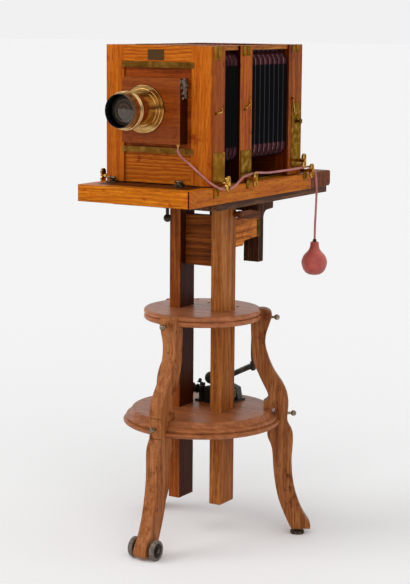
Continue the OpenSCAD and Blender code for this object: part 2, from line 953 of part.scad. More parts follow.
module bed_rails() {
    w = bed_w / 2;
    color("chocolate") {
        both_sides()
            translate([0, 0, bed_z])
                linear_extrude(bed_h)
                    polygon([[w - rail_w, -bed_front], [w - 2, -bed_front], [w, -bed_front + 2],
                        [w, tail_y], [w - rail_w, tail_y]]);
        translate([0, -bed_front, bed_z])
            block(bed_w - 2 * rail_w, front_rail_d, bed_h);
    }
}

rack_inlay = 6;
slot_x = 80;
slot_w = 28;
slot_y = -302;
slot_d = 34;
module bed_panel() {
    y0 = front_rail_d - bed_front;
    color("chocolate")
        difference() {
            translate([0, y0, bed_top - panel_t])
                block(bed_w - 2 * rail_w, tail_y - y0, panel_t);
            both_sides()
                translate([focus_rack_x - focus_rack_w / 2, rack_y0, bed_top - rack_inlay])
                    cube([focus_rack_w, rack_y1 - rack_y0, rack_inlay + 1]);
            translate([slot_x, slot_y, bed_top - 8])
                cube([slot_w, slot_d, 9]);
        }
}

// Walnut tail with a moulded rear edge and a scored joint line
module bed_tail() {
    color("sienna")
        side_shape(-bed_w / 2, bed_w)
            polygon(concat([[tail_y, bed_z], [bed_rear - chamfer, bed_z], [bed_rear, bed_z + chamfer]],
                arc([bed_rear - 9, bed_top - 9], 9, 0, 90, 4),
                [[tail_y + 25, bed_top], [tail_y + 24, bed_top - 1.5], [tail_y + 23, bed_top],
                    [tail_y, bed_top]]));
}

// Inlaid racks and the two tracks beside them
rack_first = -11;
rack_last = 80;
rack_bot = (PI / 4 + (pinion_add + tooth_gap) * tan(pressure)) * focus_module + 1;
rack_y0 = middle_shaft_y + (rack_first + 0.5) * focus_pitch - rack_bot;
rack_y1 = middle_shaft_y + (rack_last + 0.5) * focus_pitch + rack_bot;
track_x = 138;
track_w = 14;

module focus_racks() {
    pitch_z = shaft_z - focus_pitch_r;
    base = pitch_z - (pinion_add + tooth_gap) * focus_module - bed_top + rack_inlay;
    color("darkgoldenrod")
        both_sides() {
            translate([focus_rack_x - focus_rack_w / 2, middle_shaft_y, pitch_z])
                rotate([90, 0, 90])
                    linear_extrude(focus_rack_w)
                        polygon(rack_outline(focus_module, rack_first, rack_last, base));
            translate([track_x, front_y, bed_top])
                cube([track_w, tail_y - front_y, track_h]);
        }
}

// Frames

// Room in a frame's foot for the rack, the pinion and the shaft
module foot_cuts(y) {
    both_sides()
        translate([focus_rack_x - focus_rack_w / 2 - slot_gap, y - 100, frame_z - 1]) {
            cube([focus_rack_w + 2 * slot_gap, 200, 3]);
            translate([0, 100 - focus_pitch_r - 3, 0])
                cube([focus_rack_w + 2 * slot_gap, 2 * focus_pitch_r + 6,
                    shaft_h + focus_pitch_r + 4]);
        }
    translate([0, y, shaft_z])
        bar_x(frame_w + 2, shaft_r + run_fit);
}

bar_x0 = 150;
module bar_notches(y, d) {
    both_sides()
        translate([bar_x0 - slot_gap, y - 1, frame_top - top_bar_h - slot_gap])
            cube([top_bar_w + 2 * slot_gap, d + 2, top_bar_h + 2]);
}

opening_bottom = 91;
opening_top = 351;
lip = 12;

module front_frame() {
    w = frame_w / 2;
    open_w = frame_w - 2 * stile_w;
    color("chocolate")
        difference() {
            translate([0, 0, frame_z])
                linear_extrude(frame_h)
                    polygon(concat(arc([-w + stile_round, front_y + stile_round], stile_round, 180, 270, 6),
                        arc([w - stile_round, front_y + stile_round], stile_round, 270, 360, 6),
                        [[w, front_back], [-w, front_back]]));
            translate([0, front_y - 1, frame_z - 1])
                block(open_w, recess + 1, opening_bottom + 2);
            translate([0, front_y - 1, frame_z + opening_bottom])
                block(open_w, recess + panel_board + 1, opening_top - opening_bottom);
            translate([0, front_y, frame_z + opening_bottom + lip])
                block(open_w - 2 * lip, front_d + 1, opening_top - opening_bottom - 2 * lip);
            translate([0, front_shaft_y, shaft_z])
                bar_x(frame_w + 2, shaft_r + run_fit);
        }
}

panel_board = 12;
flap_w = 116;
flap_h = 126;
flap_y = panel_face - 16;
flap_z = lens_z + 71;

// Board behind the shutter box, with a window that the flap swings through
module lens_panel() {
    open_w = frame_w - 2 * stile_w;
    color("firebrick")
        translate([0, panel_face, 0])
            difference() {
                translate([0, 0, frame_z + opening_bottom + run_fit])
                    block(open_w - 2 * run_fit, panel_board, opening_top - opening_bottom - 2 * run_fit);
                translate([lens_x, -1, flap_z - flap_h - 6])
                    block(flap_w + 12, panel_board + 2, flap_h + 14);
            }
}

plate_t = 1.5;
strip_over = 8;
module front_brass() {
    w = frame_w / 2;
    strip_w = frame_w - 2 * stile_w + 2 * strip_over;
    color("darkgoldenrod") {
        for (z = [frame_z + opening_bottom - 2, frame_z + opening_top - 15])
            translate([0, front_y - plate_t, z])
                block(strip_w, plate_t, 17);
        translate([-33, front_y - plate_t, frame_z + 358])
            cube([55, plate_t, 30]);
        both_sides() {
            difference() {
                translate([w, front_y + stile_round, frame_z + 7])
                    cube([plate_t, front_d - stile_round, 89]);
                translate([w - 1, front_shaft_y, shaft_z])
                    bar_end(plate_t + 2, shaft_r + run_fit);
            }
            for (y = [front_y + 12, front_y + 34])
                translate([w, y, frame_top - 39])
                    cube([plate_t, 17, 39]);
            translate([bed_w / 2, front_y, bed_z + 20])
                difference() {
                    cube([3, 27, bed_h - 21]);
                    translate([-1, 5, 6])
                        cube([5, 17, bed_h - 36]);
                }
            translate([30, front_y + 20, frame_top])
                cube([62, 30, plate_t]);
        }
        translate([w, front_hook_y, frame_z + front_hook_z])
            hook_pin(0);
    }
}

// Hold-down catches at the front frame's foot, and the bearing plate of the flap's shaft
catch_xs = [-148, 86];
module front_catches() {
    color([0.2, 0.18, 0.15])
        for (x = catch_xs)
            translate([x, front_y - 26, bed_top]) {
                translate([-14, 0, 0])
                    cube([28, 26 - seat, 4]);
                translate([-11, 12, 4 - eps])
                    cube([22, 10, 6]);
                translate([0, 8, 0])
                    cylinder(h = 11, r = 6);
                translate([0, 8, 14])
                    bar_x(26, 4);
            }
    color("silver")
        translate([0, flap_y, flap_z])
            side_shape(box_w / 2, latch_t)
                difference() {
                    polygon(concat(arc([-5, 13], 8, 0, 180, 6),
                        spline([[-15, 8], [-11, -8], [-7, -24], [1, -38]], 3),
                        spline([[5, -36], [4, -22], [9, -6], [5, 8]], 3)));
                    circle(r = shaft3_r + run_fit);
                    translate([-5, 13])
                        circle(r = 3.5);
                    translate([-3, -18])
                        circle(r = 2.5);
                }
}

wall = 8;
shaft3_r = 3;
hole_r = barrel_r + run_fit;

module shutter_box() {
    color("firebrick")
        difference() {
            translate([0, box_face, box_z0])
                block(box_w, box_d, box_h);
            translate([0, box_face + wall, box_z0 + wall])
                block(box_w - 2 * wall, box_d, box_h - 2 * wall);
            translate([lens_x, box_face - 1, lens_z])
                rotate([-90, 0, 0])
                    cylinder(h = wall + 2, r = hole_r);
            translate([box_w / 2 - wall - 1, flap_y, flap_z])
                bar_end(wall + 2, shaft3_r + run_fit);
            translate([-box_w / 2 + wall + 1, flap_y, flap_z])
                rotate([0, 180, 0])
                    bar_end(wall - 2, shaft3_r + run_fit);
            translate([nipple[0], nipple[1], box_z0 - 1])
                cylinder(h = wall - 2, r = nipple_r + run_fit);
        }
}

nipple = hose_points[0];
nipple_r = 3;
nipple_len = 12;
module hose_nipple() {
    color("goldenrod")
        translate([nipple[0], nipple[1], box_z0 - nipple_len]) {
            cylinder(h = nipple_len + wall - 3.5, r = nipple_r);
            translate([0, 0, nipple_len - 4])
                cylinder(h = 4, r = nipple_r + 3);
        }
}

// Flap on its shaft inside the box, with a small lever outside the bearing plate
flap_lever = 11;
latch_t = 4;
module shutter_flap() {
    color("silver")
        translate([0, flap_y, flap_z]) {
            translate([-box_w / 2 + 3, 0, 0])
                bar_end(box_w + latch_t + 4, shaft3_r);
            translate([lens_x, -1.25, -flap_h])
                block(flap_w, 2.5, flap_h);
            side_shape(box_w / 2 + latch_t + seat, 4)
                polygon(concat(arc([0, 0], 5.5, 180, 360, 8), arc([-1, flap_lever], 3, 0, 180, 6)));
        }
}

// Lens

module lens_turn() {
    translate([lens_x, box_face, lens_z])
        rotate([90, 0, 0])
            rotate_extrude($fn = 96)
                children();
}

flange_t = 6;
sleeve_len = 14;
module lens_flange() {
    b = barrel_r + run_fit;
    color("goldenrod")
        lens_turn()
            polygon(concat([[b, 0], [flange_r, 0]], arc([flange_r - 3, flange_t - 3], 3, 0, 90, 4),
                [[flange_r - 10, flange_t], [flange_r - 10, flange_t + 3],
                    [flange_r - 12, flange_t + 4], [barrel_r + 6, flange_t + 4],
                    [barrel_r + 6, sleeve_len - 2], [barrel_r + 4, sleeve_len], [b, sleeve_len]]));
}

barrel_in = 5;
tube_wall = 3;
glass_gap = 0.05;
glass_seat = 20;
module lens_barrel() {
    bead0 = barrel_len - 27;
    half = 3.75;
    color("goldenrod")
        lens_turn()
            polygon(concat([[barrel_r - tube_wall, -barrel_in], [barrel_r, -barrel_in],
                [barrel_r, bead0]],
                [[bead_r - half, bead0]],
                arc([bead_r - half, bead0 + half], half, -90, 90, 6),
                arc([bead_r - half, bead0 + 3 * half], half, -80, 90, 6),
                [[bead_r - 3, bead0 + 15], [bead_r - 3, barrel_len],
                    [hood_r - tube_wall, barrel_len], [hood_r - tube_wall, barrel_len - glass_seat],
                    [barrel_r - tube_wall, barrel_len - glass_seat]]));
}

module lens_hood() {
    color([0.12, 0.12, 0.14])
        lens_turn()
            polygon([[hood_r - tube_wall, barrel_len], [hood_r, barrel_len],
                [hood_r, barrel_len + hood_len - 1], [hood_r - 1, barrel_len + hood_len],
                [hood_r - 2, barrel_len + hood_len], [hood_r - tube_wall, barrel_len + hood_len - 2]]);
}

// Front and rear cemented pairs
module lens_glass() {
    front = hood_r - tube_wall - glass_gap;
    rear = barrel_r - tube_wall - glass_gap;
    zf = barrel_len - glass_seat + glass_gap;
    zr = 6;
    color("lightblue") {
        lens_turn()
            polygon(concat([[0, zf - 3], [rear - 2, zf], [front, zf], [front, zf + 6]],
                [for (i = [1 : 6]) [front * (1 - i / 6), zf + 6 + 7 * (1 - pow(1 - i / 6, 2))]]));
        lens_turn()
            polygon(concat([[0, zr + 6], [rear, zr + 6], [rear, zr]],
                [for (i = [1 : 6]) [rear * (1 - i / 6), zr - 5 * (1 - pow(1 - i / 6, 2))]]));
    }
}

// Bars from the front frame that guide the tops of the other frames
module top_bars() {
    color("chocolate")
        both_sides()
            translate([bar_x0, front_back, frame_top - top_bar_h])
                cube([top_bar_w, rear_back - front_back, top_bar_h]);
}

module front_shaft() {
    color("goldenrod")
        translate([0, front_shaft_y, shaft_z])
            cross_shaft(false);
}

// A brass hook on a screw, in the plane of a frame's side; the shank runs along +Y
module hook(len, turn) {
    bend = [len - 7, 5];
    rotate([turn, 0, 0])
        rotate([90, 0, 90])
            linear_extrude(hook_t)
                difference() {
                    union() {
                        circle(r = 5);
                        translate([0, -hook_w / 2])
                            square([len - 7 + eps, hook_w]);
                        polygon(concat(arc(bend, 5 + hook_w / 2, -90, 110, 8),
                            arc(bend, 5 - hook_w / 2, 110, -90, 8)));
                    }
                    circle(r = hook_pin_r + run_fit);
                }
}

hook_t = 2.6;
hook_w = 3.4;
hook_pin_r = 1.5;

// The screw that a hook turns on, from the wood outward past a plate of the given thickness
module hook_pin(under) {
    bar_end(under + 2 * seat + hook_t + eps, hook_pin_r);
    translate([under + 2 * seat + hook_t, 0, 0])
        bar_end(1.6, 3.6);
}

hook_x = frame_w / 2 + seat;
front_hook_y = -236;
front_hook_z = 208;
middle_hook_y = -72;
middle_hook_z = 214;
rear_hook_y = 218;
rear_hook_z = 236;

module hook_front() {
    color("goldenrod")
        translate([hook_x, front_hook_y, frame_z + front_hook_z])
            hook(36, 8);
}

module hook_middle() {
    color("goldenrod")
        translate([hook_x, middle_hook_y, frame_z + middle_hook_z])
            hook(40, 28);
}

module hook_rear() {
    color("goldenrod")
        translate([hook_x + plate_t, rear_hook_y, frame_z + rear_hook_z])
            hook(56, -72);
}

module middle_frame() {
    color("chocolate")
        difference() {
            translate([0, middle_y, frame_z])
                block(frame_w, middle_d, frame_h);
            translate([0, middle_y - 1, throat_z - throat_h / 2])
                block(throat_w, middle_d + 2, throat_h);
            foot_cuts(middle_shaft_y);
            bar_notches(middle_y, middle_d);
        }
}

// Side plates, top strips and the shoe that hangs beside the bed below a knob
shoe_gap = 0.5;
shoe_t = 2.5;
module shoe(y, depth) {
    w = bed_w / 2 + shoe_gap;
    difference() {
        union() {
            side_shape(w, shoe_t)
                polygon(concat([[y - 9, shaft_z + 3]], [[y + 9, shaft_z + 3]],
                    arc([y, shaft_z - depth], 11, 0, -180, 8)));
            translate([frame_w / 2, y - 7, shaft_z - shaft_h + 2])
                cube([w + eps - frame_w / 2, 14, shaft_h + 1]);
        }
        translate([0, y, shaft_z])
            bar_end(w + 20, shaft_r + run_fit);
    }
}

module middle_brass() {
    w = frame_w / 2;
    color("darkgoldenrod")
        both_sides() {
            difference() {
                translate([w, middle_y + 5, frame_z + 15])
                    cube([plate_t, middle_d - 6, 79]);
                translate([0, middle_shaft_y, shaft_z])
                    bar_end(w + 20, shaft_r + run_fit);
            }
            shoe(middle_shaft_y, 18);
            for (y = [middle_y + 14, middle_y + 38])
                translate([w, y, frame_top - 30])
                    cube([plate_t, 17, 30]);
        }
    color("darkgoldenrod")
        translate([w, middle_hook_y, frame_z + middle_hook_z])
            hook_pin(0);
}

module middle_shaft() {
    color("goldenrod")
        translate([0, middle_shaft_y, shaft_z])
            cross_shaft(true);
}

// The rear frame holds the bellows inside its deep throat, with feet behind for the shaft
rear_lip = 20;
rear_room = 3;
foot_w = 50;
module rear_frame() {
    foot_back = rear_shaft_y + 13;
    color("chocolate")
        difference() {
            union() {
                translate([0, rear_y, frame_z])
                    block(frame_w, rear_d, frame_h);
                both_sides()
                    translate([frame_w / 2 - foot_w - 27, rear_back - 1, frame_z])
                        cube([foot_w + 27, foot_back - rear_back + 1, 30]);
            }
            translate([0, rear_y - 1, throat_z - bellows_h / 2 - rear_room])
                block(bellows_w + 2 * rear_room, rear_d - rear_lip + 1, bellows_h + 2 * rear_room);
            translate([0, rear_y - 1, throat_z - throat_h / 2])
                block(throat_w, rear_d + 2, throat_h);
            foot_cuts(rear_shaft_y);
            bar_notches(rear_y, rear_d);
            translate([frame_w / 2 - clamp_in - 1, back_clamp_y, frame_z + back_clamp_h])
                bar_end(clamp_in + 2, shaft_r + run_fit);
        }
}

back_clamp_y = 240;
back_clamp_h = 44;
module rear_brass() {
    w = frame_w / 2;
    color("darkgoldenrod")
        both_sides() {
            difference() {
                translate([w, rear_y + 18, frame_z + 23])
                    cube([plate_t, rear_d - 23, 198]);
                translate([0, back_clamp_y, frame_z + back_clamp_h])
                    bar_end(w + 20, shaft_r + run_fit);
            }
            shoe(rear_shaft_y, 18);
            for (y = [rear_y + 16, rear_y + 44])
                translate([w, y, frame_top - 23])
                    cube([plate_t, 17, 23]);
            translate([w + plate_t - eps, rear_y + 60, frame_z + 164])
                bar_end(8, 3);
            translate([w + plate_t + 8 - 2 * eps, rear_y + 60, frame_z + 164])
                bar_end(3, 8);
        }
    color("darkgoldenrod") {
        translate([w, rear_hook_y, frame_z + rear_hook_z])
            hook_pin(plate_t);
        for (z = glass_hinge_zs) {
            for (end = [z - knuckle_h - seat, z + glass_knuckle + seat]) {
                translate([glass_x, glass_y + glass_t, end])
                    cylinder(h = knuckle_h, r = glass_hinge_r);
                translate([glass_x - 6, rear_back, end])
                    cube([4, glass_t + slot_gap, knuckle_h]);
            }
            translate([glass_x, glass_y + glass_t, z - knuckle_h - seat])
                cylinder(h = glass_knuckle + 2 * knuckle_h + 2 * seat, r = glass_pin_r);
        }
    }
}

module rear_shaft() {
    color("goldenrod")
        translate([0, rear_shaft_y, shaft_z])
            cross_shaft(true);
}

// Short clamp screw with a thumb knob on the rear frame's side
clamp_in = 28;
module back_clamp() {
    color("goldenrod")
        translate([frame_w / 2, back_clamp_y, frame_z + back_clamp_h]) {
            translate([-clamp_in, 0, 0])
                bar_end(clamp_in + knob_start - frame_w / 2, shaft_r);
            translate([knob_start - frame_w / 2 - eps, 0, 0])
                thumb_knob(0);
        }
}

// Focusing screen in a hinged frame at the back
glass_w = 250;
glass_h = 250;
glass_rim = 34;
glass_t = 18;
screen_t = 3;
glass_hinge_r = 4;
glass_y = rear_back + slot_gap;
glass_x = -(glass_w / 2 + glass_rim);
glass_pin_r = 1.8;
glass_knuckle = 40;
knuckle_h = 10;
glass_z = throat_z - glass_h / 2 - glass_rim;
glass_frame_h = glass_h + 2 * glass_rim;
glass_hinge_zs = [glass_z + 30, glass_z + glass_frame_h - 70];

module glass_frame() {
    hinge_pos = [glass_x, glass_y + glass_t, 0];
    color("sienna")
        difference() {
            union() {
                translate([0, glass_y, glass_z])
                    block(glass_w + 2 * glass_rim, glass_t, glass_frame_h);
                for (z = glass_hinge_zs)
                    translate(hinge_pos + [0, 0, z])
                        cylinder(h = glass_knuckle, r = glass_hinge_r);
            }
            for (z = glass_hinge_zs) {
                for (end = [z - knuckle_h - 2 * seat, z + glass_knuckle])
                    translate(hinge_pos + [0, 0, end])
                        cylinder(h = knuckle_h + 2 * seat, r = glass_hinge_r + slot_gap);
                translate(hinge_pos + [0, 0, z - 1])
                    cylinder(h = glass_knuckle + 2, r = glass_pin_r + run_fit);
            }
            translate([0, glass_y - 1, throat_z - glass_h / 2])
                block(glass_w, glass_t + 2, glass_h);
            translate([0, glass_y + 5, throat_z - glass_h / 2 - 8])
                block(glass_w + 16, screen_t + 2 * run_fit, glass_h + 16);
        }
}

module ground_glass() {
    color("lightcyan")
        translate([0, glass_y + 5 + run_fit, throat_z - glass_h / 2 - 7.8])
            block(glass_w + 15.6, screen_t, glass_h + 15.6);
}

// Bellows

// One ring of the bellows: a rectangle with cut corners, at a given inset
function bellows_ring(y, inset) =
    let (a = bellows_w / 2 - inset, b = bellows_h / 2 - inset, c = bellows_corner - inset * 0.4)
        [[a, y, throat_z - b + c], [a, y, throat_z + b - c], [a - c, y, throat_z + b],
            [c - a, y, throat_z + b], [-a, y, throat_z + b - c], [-a, y, throat_z - b + c],
            [c - a, y, throat_z - b], [a - c, y, throat_z - b]];

// A pleated sleeve: outer rings forward, inner rings back
module bellows(y0, y1, folds) {
    n = 2 * folds + 1;
    step = (y1 - y0) / (n - 1);
    rings = [
        for (i = [0 : n - 1])
            bellows_ring(y0 + i * step, i % 2 == 0 ? fold_depth : 0),
        for (i = [n - 1 : -1 : 0])
            bellows_ring(y0 + i * step, (i % 2 == 0 ? fold_depth : 0) + cloth_t)];
    m = len(rings);
    polyhedron(
        points = [for (r = rings) each r],
        faces = [
            for (i = [0 : m - 1])
                for (k = [0 : 7])
                    let (a = 8 * i + k, b = 8 * i + (k + 1) % 8,
                        c = 8 * ((i + 1) % m) + k, d = 8 * ((i + 1) % m) + (k + 1) % 8)
                        each [[a, b, d], [a, d, c]]],
        convexity = 10);
}

module bellows_front() {
    color([0.1, 0.06, 0.07])
        bellows(front_back, middle_y, front_folds);
}

module bellows_rear() {
    color([0.1, 0.06, 0.07])
        bellows(middle_back, rear_back - rear_lip, rear_folds);
}

// Hose and bulb

hose_sides = 10;
function unit(v) = v / norm(v);

// A tube swept along points, its rings square to the route
function tube_rings(p, r, n) = [
    for (i = [0 : len(p) - 1])
        let (d = i == 0 ? [0, 0, -1]
                : i == len(p) - 1 ? [0, 0, -1]
                : unit(unit(p[i + 1] - p[i]) + unit(p[i] - p[i - 1])),
            s = unit(cross(d, abs(d[1]) > 0.9 ? [0, 0, 1] : [0, 1, 0])),
            q = unit(cross(d, s)))
            [for (k = [0 : n - 1])
                p[i] + r * (cos(360 * k / n) * s + sin(360 * k / n) * q)]];

module tube(p, r, n) {
    rings = tube_rings(p, r, n);
    m = len(rings);
    polyhedron(
        points = [for (g = rings) each g],
        faces = concat(
            [[for (k = [0 : n - 1]) k]],
            [for (i = [0 : m - 2])
                for (k = [0 : n - 1])
                    let (a = n * i + k, b = n * i + (k + 1) % n)
                        each [[a, a + n, b + n], [a, b + n, b]]],
            [[for (k = [n - 1 : -1 : 0]) n * (m - 1) + k]]),
        convexity = 10);
}

module hose() {
    color("indianred")
        translate([0, 0, bed_top])
            tube(spline(hose_points, 2), hose_r, hose_sides);
}

// Rubber bulb: dark ferrule, tapering neck and round body
module bulb() {
    neck = 14;
    len = 115;
    color("brown")
        translate(bulb_top + [0, 0, bed_top])
            rotate_extrude($fn = 64)
                polygon(concat([[0, 0], [5, 0], [6, -8]],
                    spline([[9, -10], [neck - 2, -22], [neck + 6, -34], [bulb_r - 7, -48],
                        [bulb_r, -len + bulb_r], [bulb_r - 6, -len + 20], [bulb_r - 20, -len + 4],
                        [0, -len]], 4)));
}

place() leg_front();
place() leg_right();
place() leg_left();
place() upper_disc();
place() lower_disc();
place() stand_bolts();
place() wheel_axle();
place() wheel_left();
place() wheel_right();
place() foot_left();
place() foot_right();
place() gear_frame();
place() post_left();
place() post_right();
place() cross_board();
place() cheeks();
place() column_brass();
place() lift_racks();
place() pinion_shaft();
place() crank_arm();
place() crank_grip();
place() pawl();
place() lock_lever();
place() table_board();
place() table_arms();
place() table_hinges();
place() bed_clamp();
place() bed_rails();
place() bed_panel();
place() bed_tail();
place() focus_racks();
place() front_frame();
place() lens_panel();
place() front_brass();
place() front_catches();
place() shutter_box();
place() hose_nipple();
place() shutter_flap();
place() lens_flange();
place() lens_barrel();
place() lens_hood();
place() lens_glass();
place() top_bars();
place() front_shaft();
place() hook_front();
place() middle_frame();
place() middle_brass();
place() middle_shaft();
place() hook_middle();
place() rear_frame();
place() rear_brass();
place() rear_shaft();
place() back_clamp();
place() hook_rear();
place() glass_frame();
place() ground_glass();
place() bellows_front();
place() bellows_rear();
place() hose();
place() bulb();
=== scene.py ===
import math

import bmesh
import bpy
from mathutils import Matrix, Vector


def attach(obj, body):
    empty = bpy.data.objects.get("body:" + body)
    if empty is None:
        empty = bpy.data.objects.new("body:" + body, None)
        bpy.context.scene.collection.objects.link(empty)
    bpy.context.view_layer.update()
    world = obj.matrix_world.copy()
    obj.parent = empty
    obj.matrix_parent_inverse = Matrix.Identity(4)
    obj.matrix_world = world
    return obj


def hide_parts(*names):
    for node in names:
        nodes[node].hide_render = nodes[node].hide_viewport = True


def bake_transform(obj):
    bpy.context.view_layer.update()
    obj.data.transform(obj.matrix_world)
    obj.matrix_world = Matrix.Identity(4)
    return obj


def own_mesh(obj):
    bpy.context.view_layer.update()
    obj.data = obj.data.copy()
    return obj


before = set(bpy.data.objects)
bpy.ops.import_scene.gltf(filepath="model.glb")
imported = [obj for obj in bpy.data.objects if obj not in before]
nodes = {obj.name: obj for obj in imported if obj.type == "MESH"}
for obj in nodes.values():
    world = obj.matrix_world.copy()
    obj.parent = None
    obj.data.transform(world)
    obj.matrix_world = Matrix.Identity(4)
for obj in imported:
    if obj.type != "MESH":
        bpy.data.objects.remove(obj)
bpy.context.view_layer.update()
scene = bpy.context.scene

# The photographer's view: from the front right, a little above the camera, with a long lens.
# It looks down over the bed onto both discs of the stand.
view_turn, view_tilt, view_roll = math.radians(31.2), math.radians(9.3), math.radians(0.46)
view_from = Vector((2.6658, -4.4107, 1.608))
ahead = Vector((-math.sin(view_turn) * math.cos(view_tilt),
                math.cos(view_turn) * math.cos(view_tilt), -math.sin(view_tilt)))
across = Vector((math.cos(view_turn), math.sin(view_turn), 0))
upward = across.cross(ahead)
across, upward = (across * math.cos(view_roll) + upward * math.sin(view_roll),
                  upward * math.cos(view_roll) - across * math.sin(view_roll))


def put(name, data):
    """An object of this data, in the scene."""
    piece = bpy.data.objects.new(name, data)
    scene.collection.objects.link(piece)
    return piece


# The depth of the view and its picture's height are in the same unit.
view_depth, view_height, film_size = 1685, 584, 36
lens_data = bpy.data.cameras.new("view")
lens_data.sensor_width = film_size
lens_data.lens = view_depth / view_height * film_size
lens_data.clip_end = 200
viewer = put("view", lens_data)
viewer.matrix_world = Matrix.Translation(view_from) @ Matrix((
    (across.x, upward.x, -ahead.x, 0), (across.y, upward.y, -ahead.y, 0),
    (across.z, upward.z, -ahead.z, 0), (0, 0, 0, 1)))
scene.camera = viewer


# Colours are written as they look on a screen and turned to linear light here.
def linear(code):
    """The linear colour of an sRGB hex code such as 8a5a1e."""
    parts = [int(code[i:i + 2], 16) / 255 for i in (0, 2, 4)]
    return [c / 12.92 if c <= 0.04045 else ((c + 0.055) / 1.055) ** 2.4 for c in parts] + [1.0]


def feed(node, links):
    """Links sources to a node's sockets. A node given as a source stands for its first output."""
    for key, source in links.items():
        if isinstance(source, bpy.types.Node):
            source = source.outputs[0]
        node.id_data.links.new(source, node.inputs[key])


def add(tree, kind, settings=None, links=None):
    """Adds a node, sets its options, sockets and colour stops, and feeds its sockets."""
    node = tree.nodes.new(kind)
    for key, value in (settings or {}).items():
        if key == "stops":
            ramp = node.color_ramp
            ramp.elements.remove(ramp.elements[-1])
            ramp.elements[0].position = value[0][0]
            ramp.elements[0].color = linear(value[0][1])
            for place, code in value[1:]:
                ramp.elements.new(place).color = linear(code)
        elif isinstance(key, str) and hasattr(node, key):
            setattr(node, key, value)
        else:
            node.inputs[key].default_value = value
    feed(node, links or {})
    return node


# Studio: a pale sweep with broad soft light from both sides of the photographer.
# The sweep is one even tone, and only the object's own soft shadow shows on it.
scene.view_settings.view_transform = "Standard"
world = bpy.data.worlds.new("studio")
scene.world = world
world.use_nodes = True
air = world.node_tree
air.nodes.clear()
seen = add(air, "ShaderNodeLightPath")
rays = add(air, "ShaderNodeMath", {"operation": "MAXIMUM"},
           {0: seen.outputs["Is Camera Ray"], 1: seen.outputs["Is Transmission Ray"]})
# Polished surfaces mirror the pale sweep behind the object and the dim room behind the photographer.
way = add(air, "ShaderNodeTexCoord")
way = add(air, "ShaderNodeSeparateXYZ", {}, {0: way.outputs["Generated"]})
mirrored = add(air, "ShaderNodeMapRange", {1: -0.05, 2: 0.4, 3: 0.1, 4: 0.95}, {0: way.outputs[1]})
# The matt ones take their light from all round, more from the walls than from above.
walls = add(air, "ShaderNodeMapRange", {1: 0.0, 2: 0.75, 3: 0.84, 4: 0.40}, {0: way.outputs[2]})
room = add(air, "ShaderNodeMix", {}, {0: seen.outputs["Is Glossy Ray"], 2: walls, 3: mirrored})
ambient = add(air, "ShaderNodeBackground", {"Color": linear("ffffff")}, {"Strength": room})
sweep_tone = add(air, "ShaderNodeBackground", {"Color": linear("f1f1f1"), "Strength": 1.0})
both = add(air, "ShaderNodeMixShader", {}, {0: rays, 1: ambient, 2: sweep_tone})
add(air, "ShaderNodeOutputWorld", {}, {"Surface": both})
for lamp_name, towards, power, softness in (("soft_right", (0.36, -0.66, 0.66), 0.80, 60),
                                            ("soft_left", (-0.58, -0.54, 0.61), 0.88, 40),
                                            ("soft_top", (0.10, 0.05, 0.99), 0.28, 110)):
    lamp_data = bpy.data.lights.new(lamp_name, "SUN")
    lamp_data.energy = power
    lamp_data.angle = math.radians(softness)
    lamp = put(lamp_name, lamp_data)
    lamp.rotation_euler = Vector(towards).to_track_quat("Z", "Y").to_euler()

floor_mesh = bpy.data.meshes.new("floor")
floor_mesh.from_pydata([(-90, -90, 0), (90, -90, 0), (90, 90, 0), (-90, 90, 0)], [], [(0, 1, 2, 3)])
floor = put("floor", floor_mesh)


def surface(name, sockets):
    """A material, its node tree and its shader, with constants set on the shader's sockets."""
    finish = bpy.data.materials.new(name)
    finish.use_nodes = True
    shader = finish.node_tree.nodes["Principled BSDF"]
    for socket, value in sockets.items():
        shader.inputs[socket].default_value = value
    return finish, finish.node_tree, shader


paper = surface("white paper sweep",
                {"Base Color": linear("fefefe"), "Roughness": 1.0, "Specular IOR Level": 0.0})[0]
floor_mesh.materials.append(paper)


# Shutter hose: thin red rubber tube, extruded, with a matt skin that has paled with age.
# It leaves the nipple under the shutter box, lies over the focusing shafts and hangs behind the last.
# The route is in millimetres: to the right, back and up.
hose_radius = 0.0034
hose_route = [(86, -307, 1231), (87, -307, 1220), (98, -302, 1204), (119, -295, 1186),
              (140, -292, 1169), (162, -290, 1152), (180, -290, 1139), (192, -284, 1130),
              (199, -272, 1123), (200, -258, 1119), (200, -232, 1115), (200, -202, 1114),
              (200, -172, 1121), (200, -147, 1133), (200, -126, 1142), (200, -92, 1146),
              (200, -50, 1149), (200, 23, 1144), (200, 121, 1143), (200, 189, 1143),
              (200, 263, 1144), (203, 285, 1143), (210, 299, 1134), (214, 305, 1118),
              (215, 309, 1090), (215, 312, 1062), (215, 310, 1015), (215, 306, 960), (215, 305, 913)]


def smooth_route(points, steps):
    """Points on a smooth curve through the given ones, in metres."""
    p = [Vector(q) / 1000 for q in points]
    out = []
    for i in range(len(p) - 1):
        a, b, c, d = p[max(i - 1, 0)], p[i], p[i + 1], p[min(i + 2, len(p) - 1)]
        for k in range(steps):
            t = k / steps
            out.append(0.5 * (2 * b + (c - a) * t + (2 * a - 5 * b + 4 * c - d) * t * t
                              + (3 * b - a - 3 * c + d) * t * t * t))
    return out + [p[-1]]


def drawn_tube(name, points, radius):
    """A round tube or rod along one open line."""
    data = bpy.data.curves.new(name, "CURVE")
    data.dimensions = "3D"
    data.bevel_depth = radius
    data.bevel_resolution = 5
    data.use_fill_caps = True
    line = data.splines.new("POLY")
    line.points.add(len(points) - 1)
    for point, place in zip(line.points, points):
        point.co = (*place, 1)
    return put(name, data)


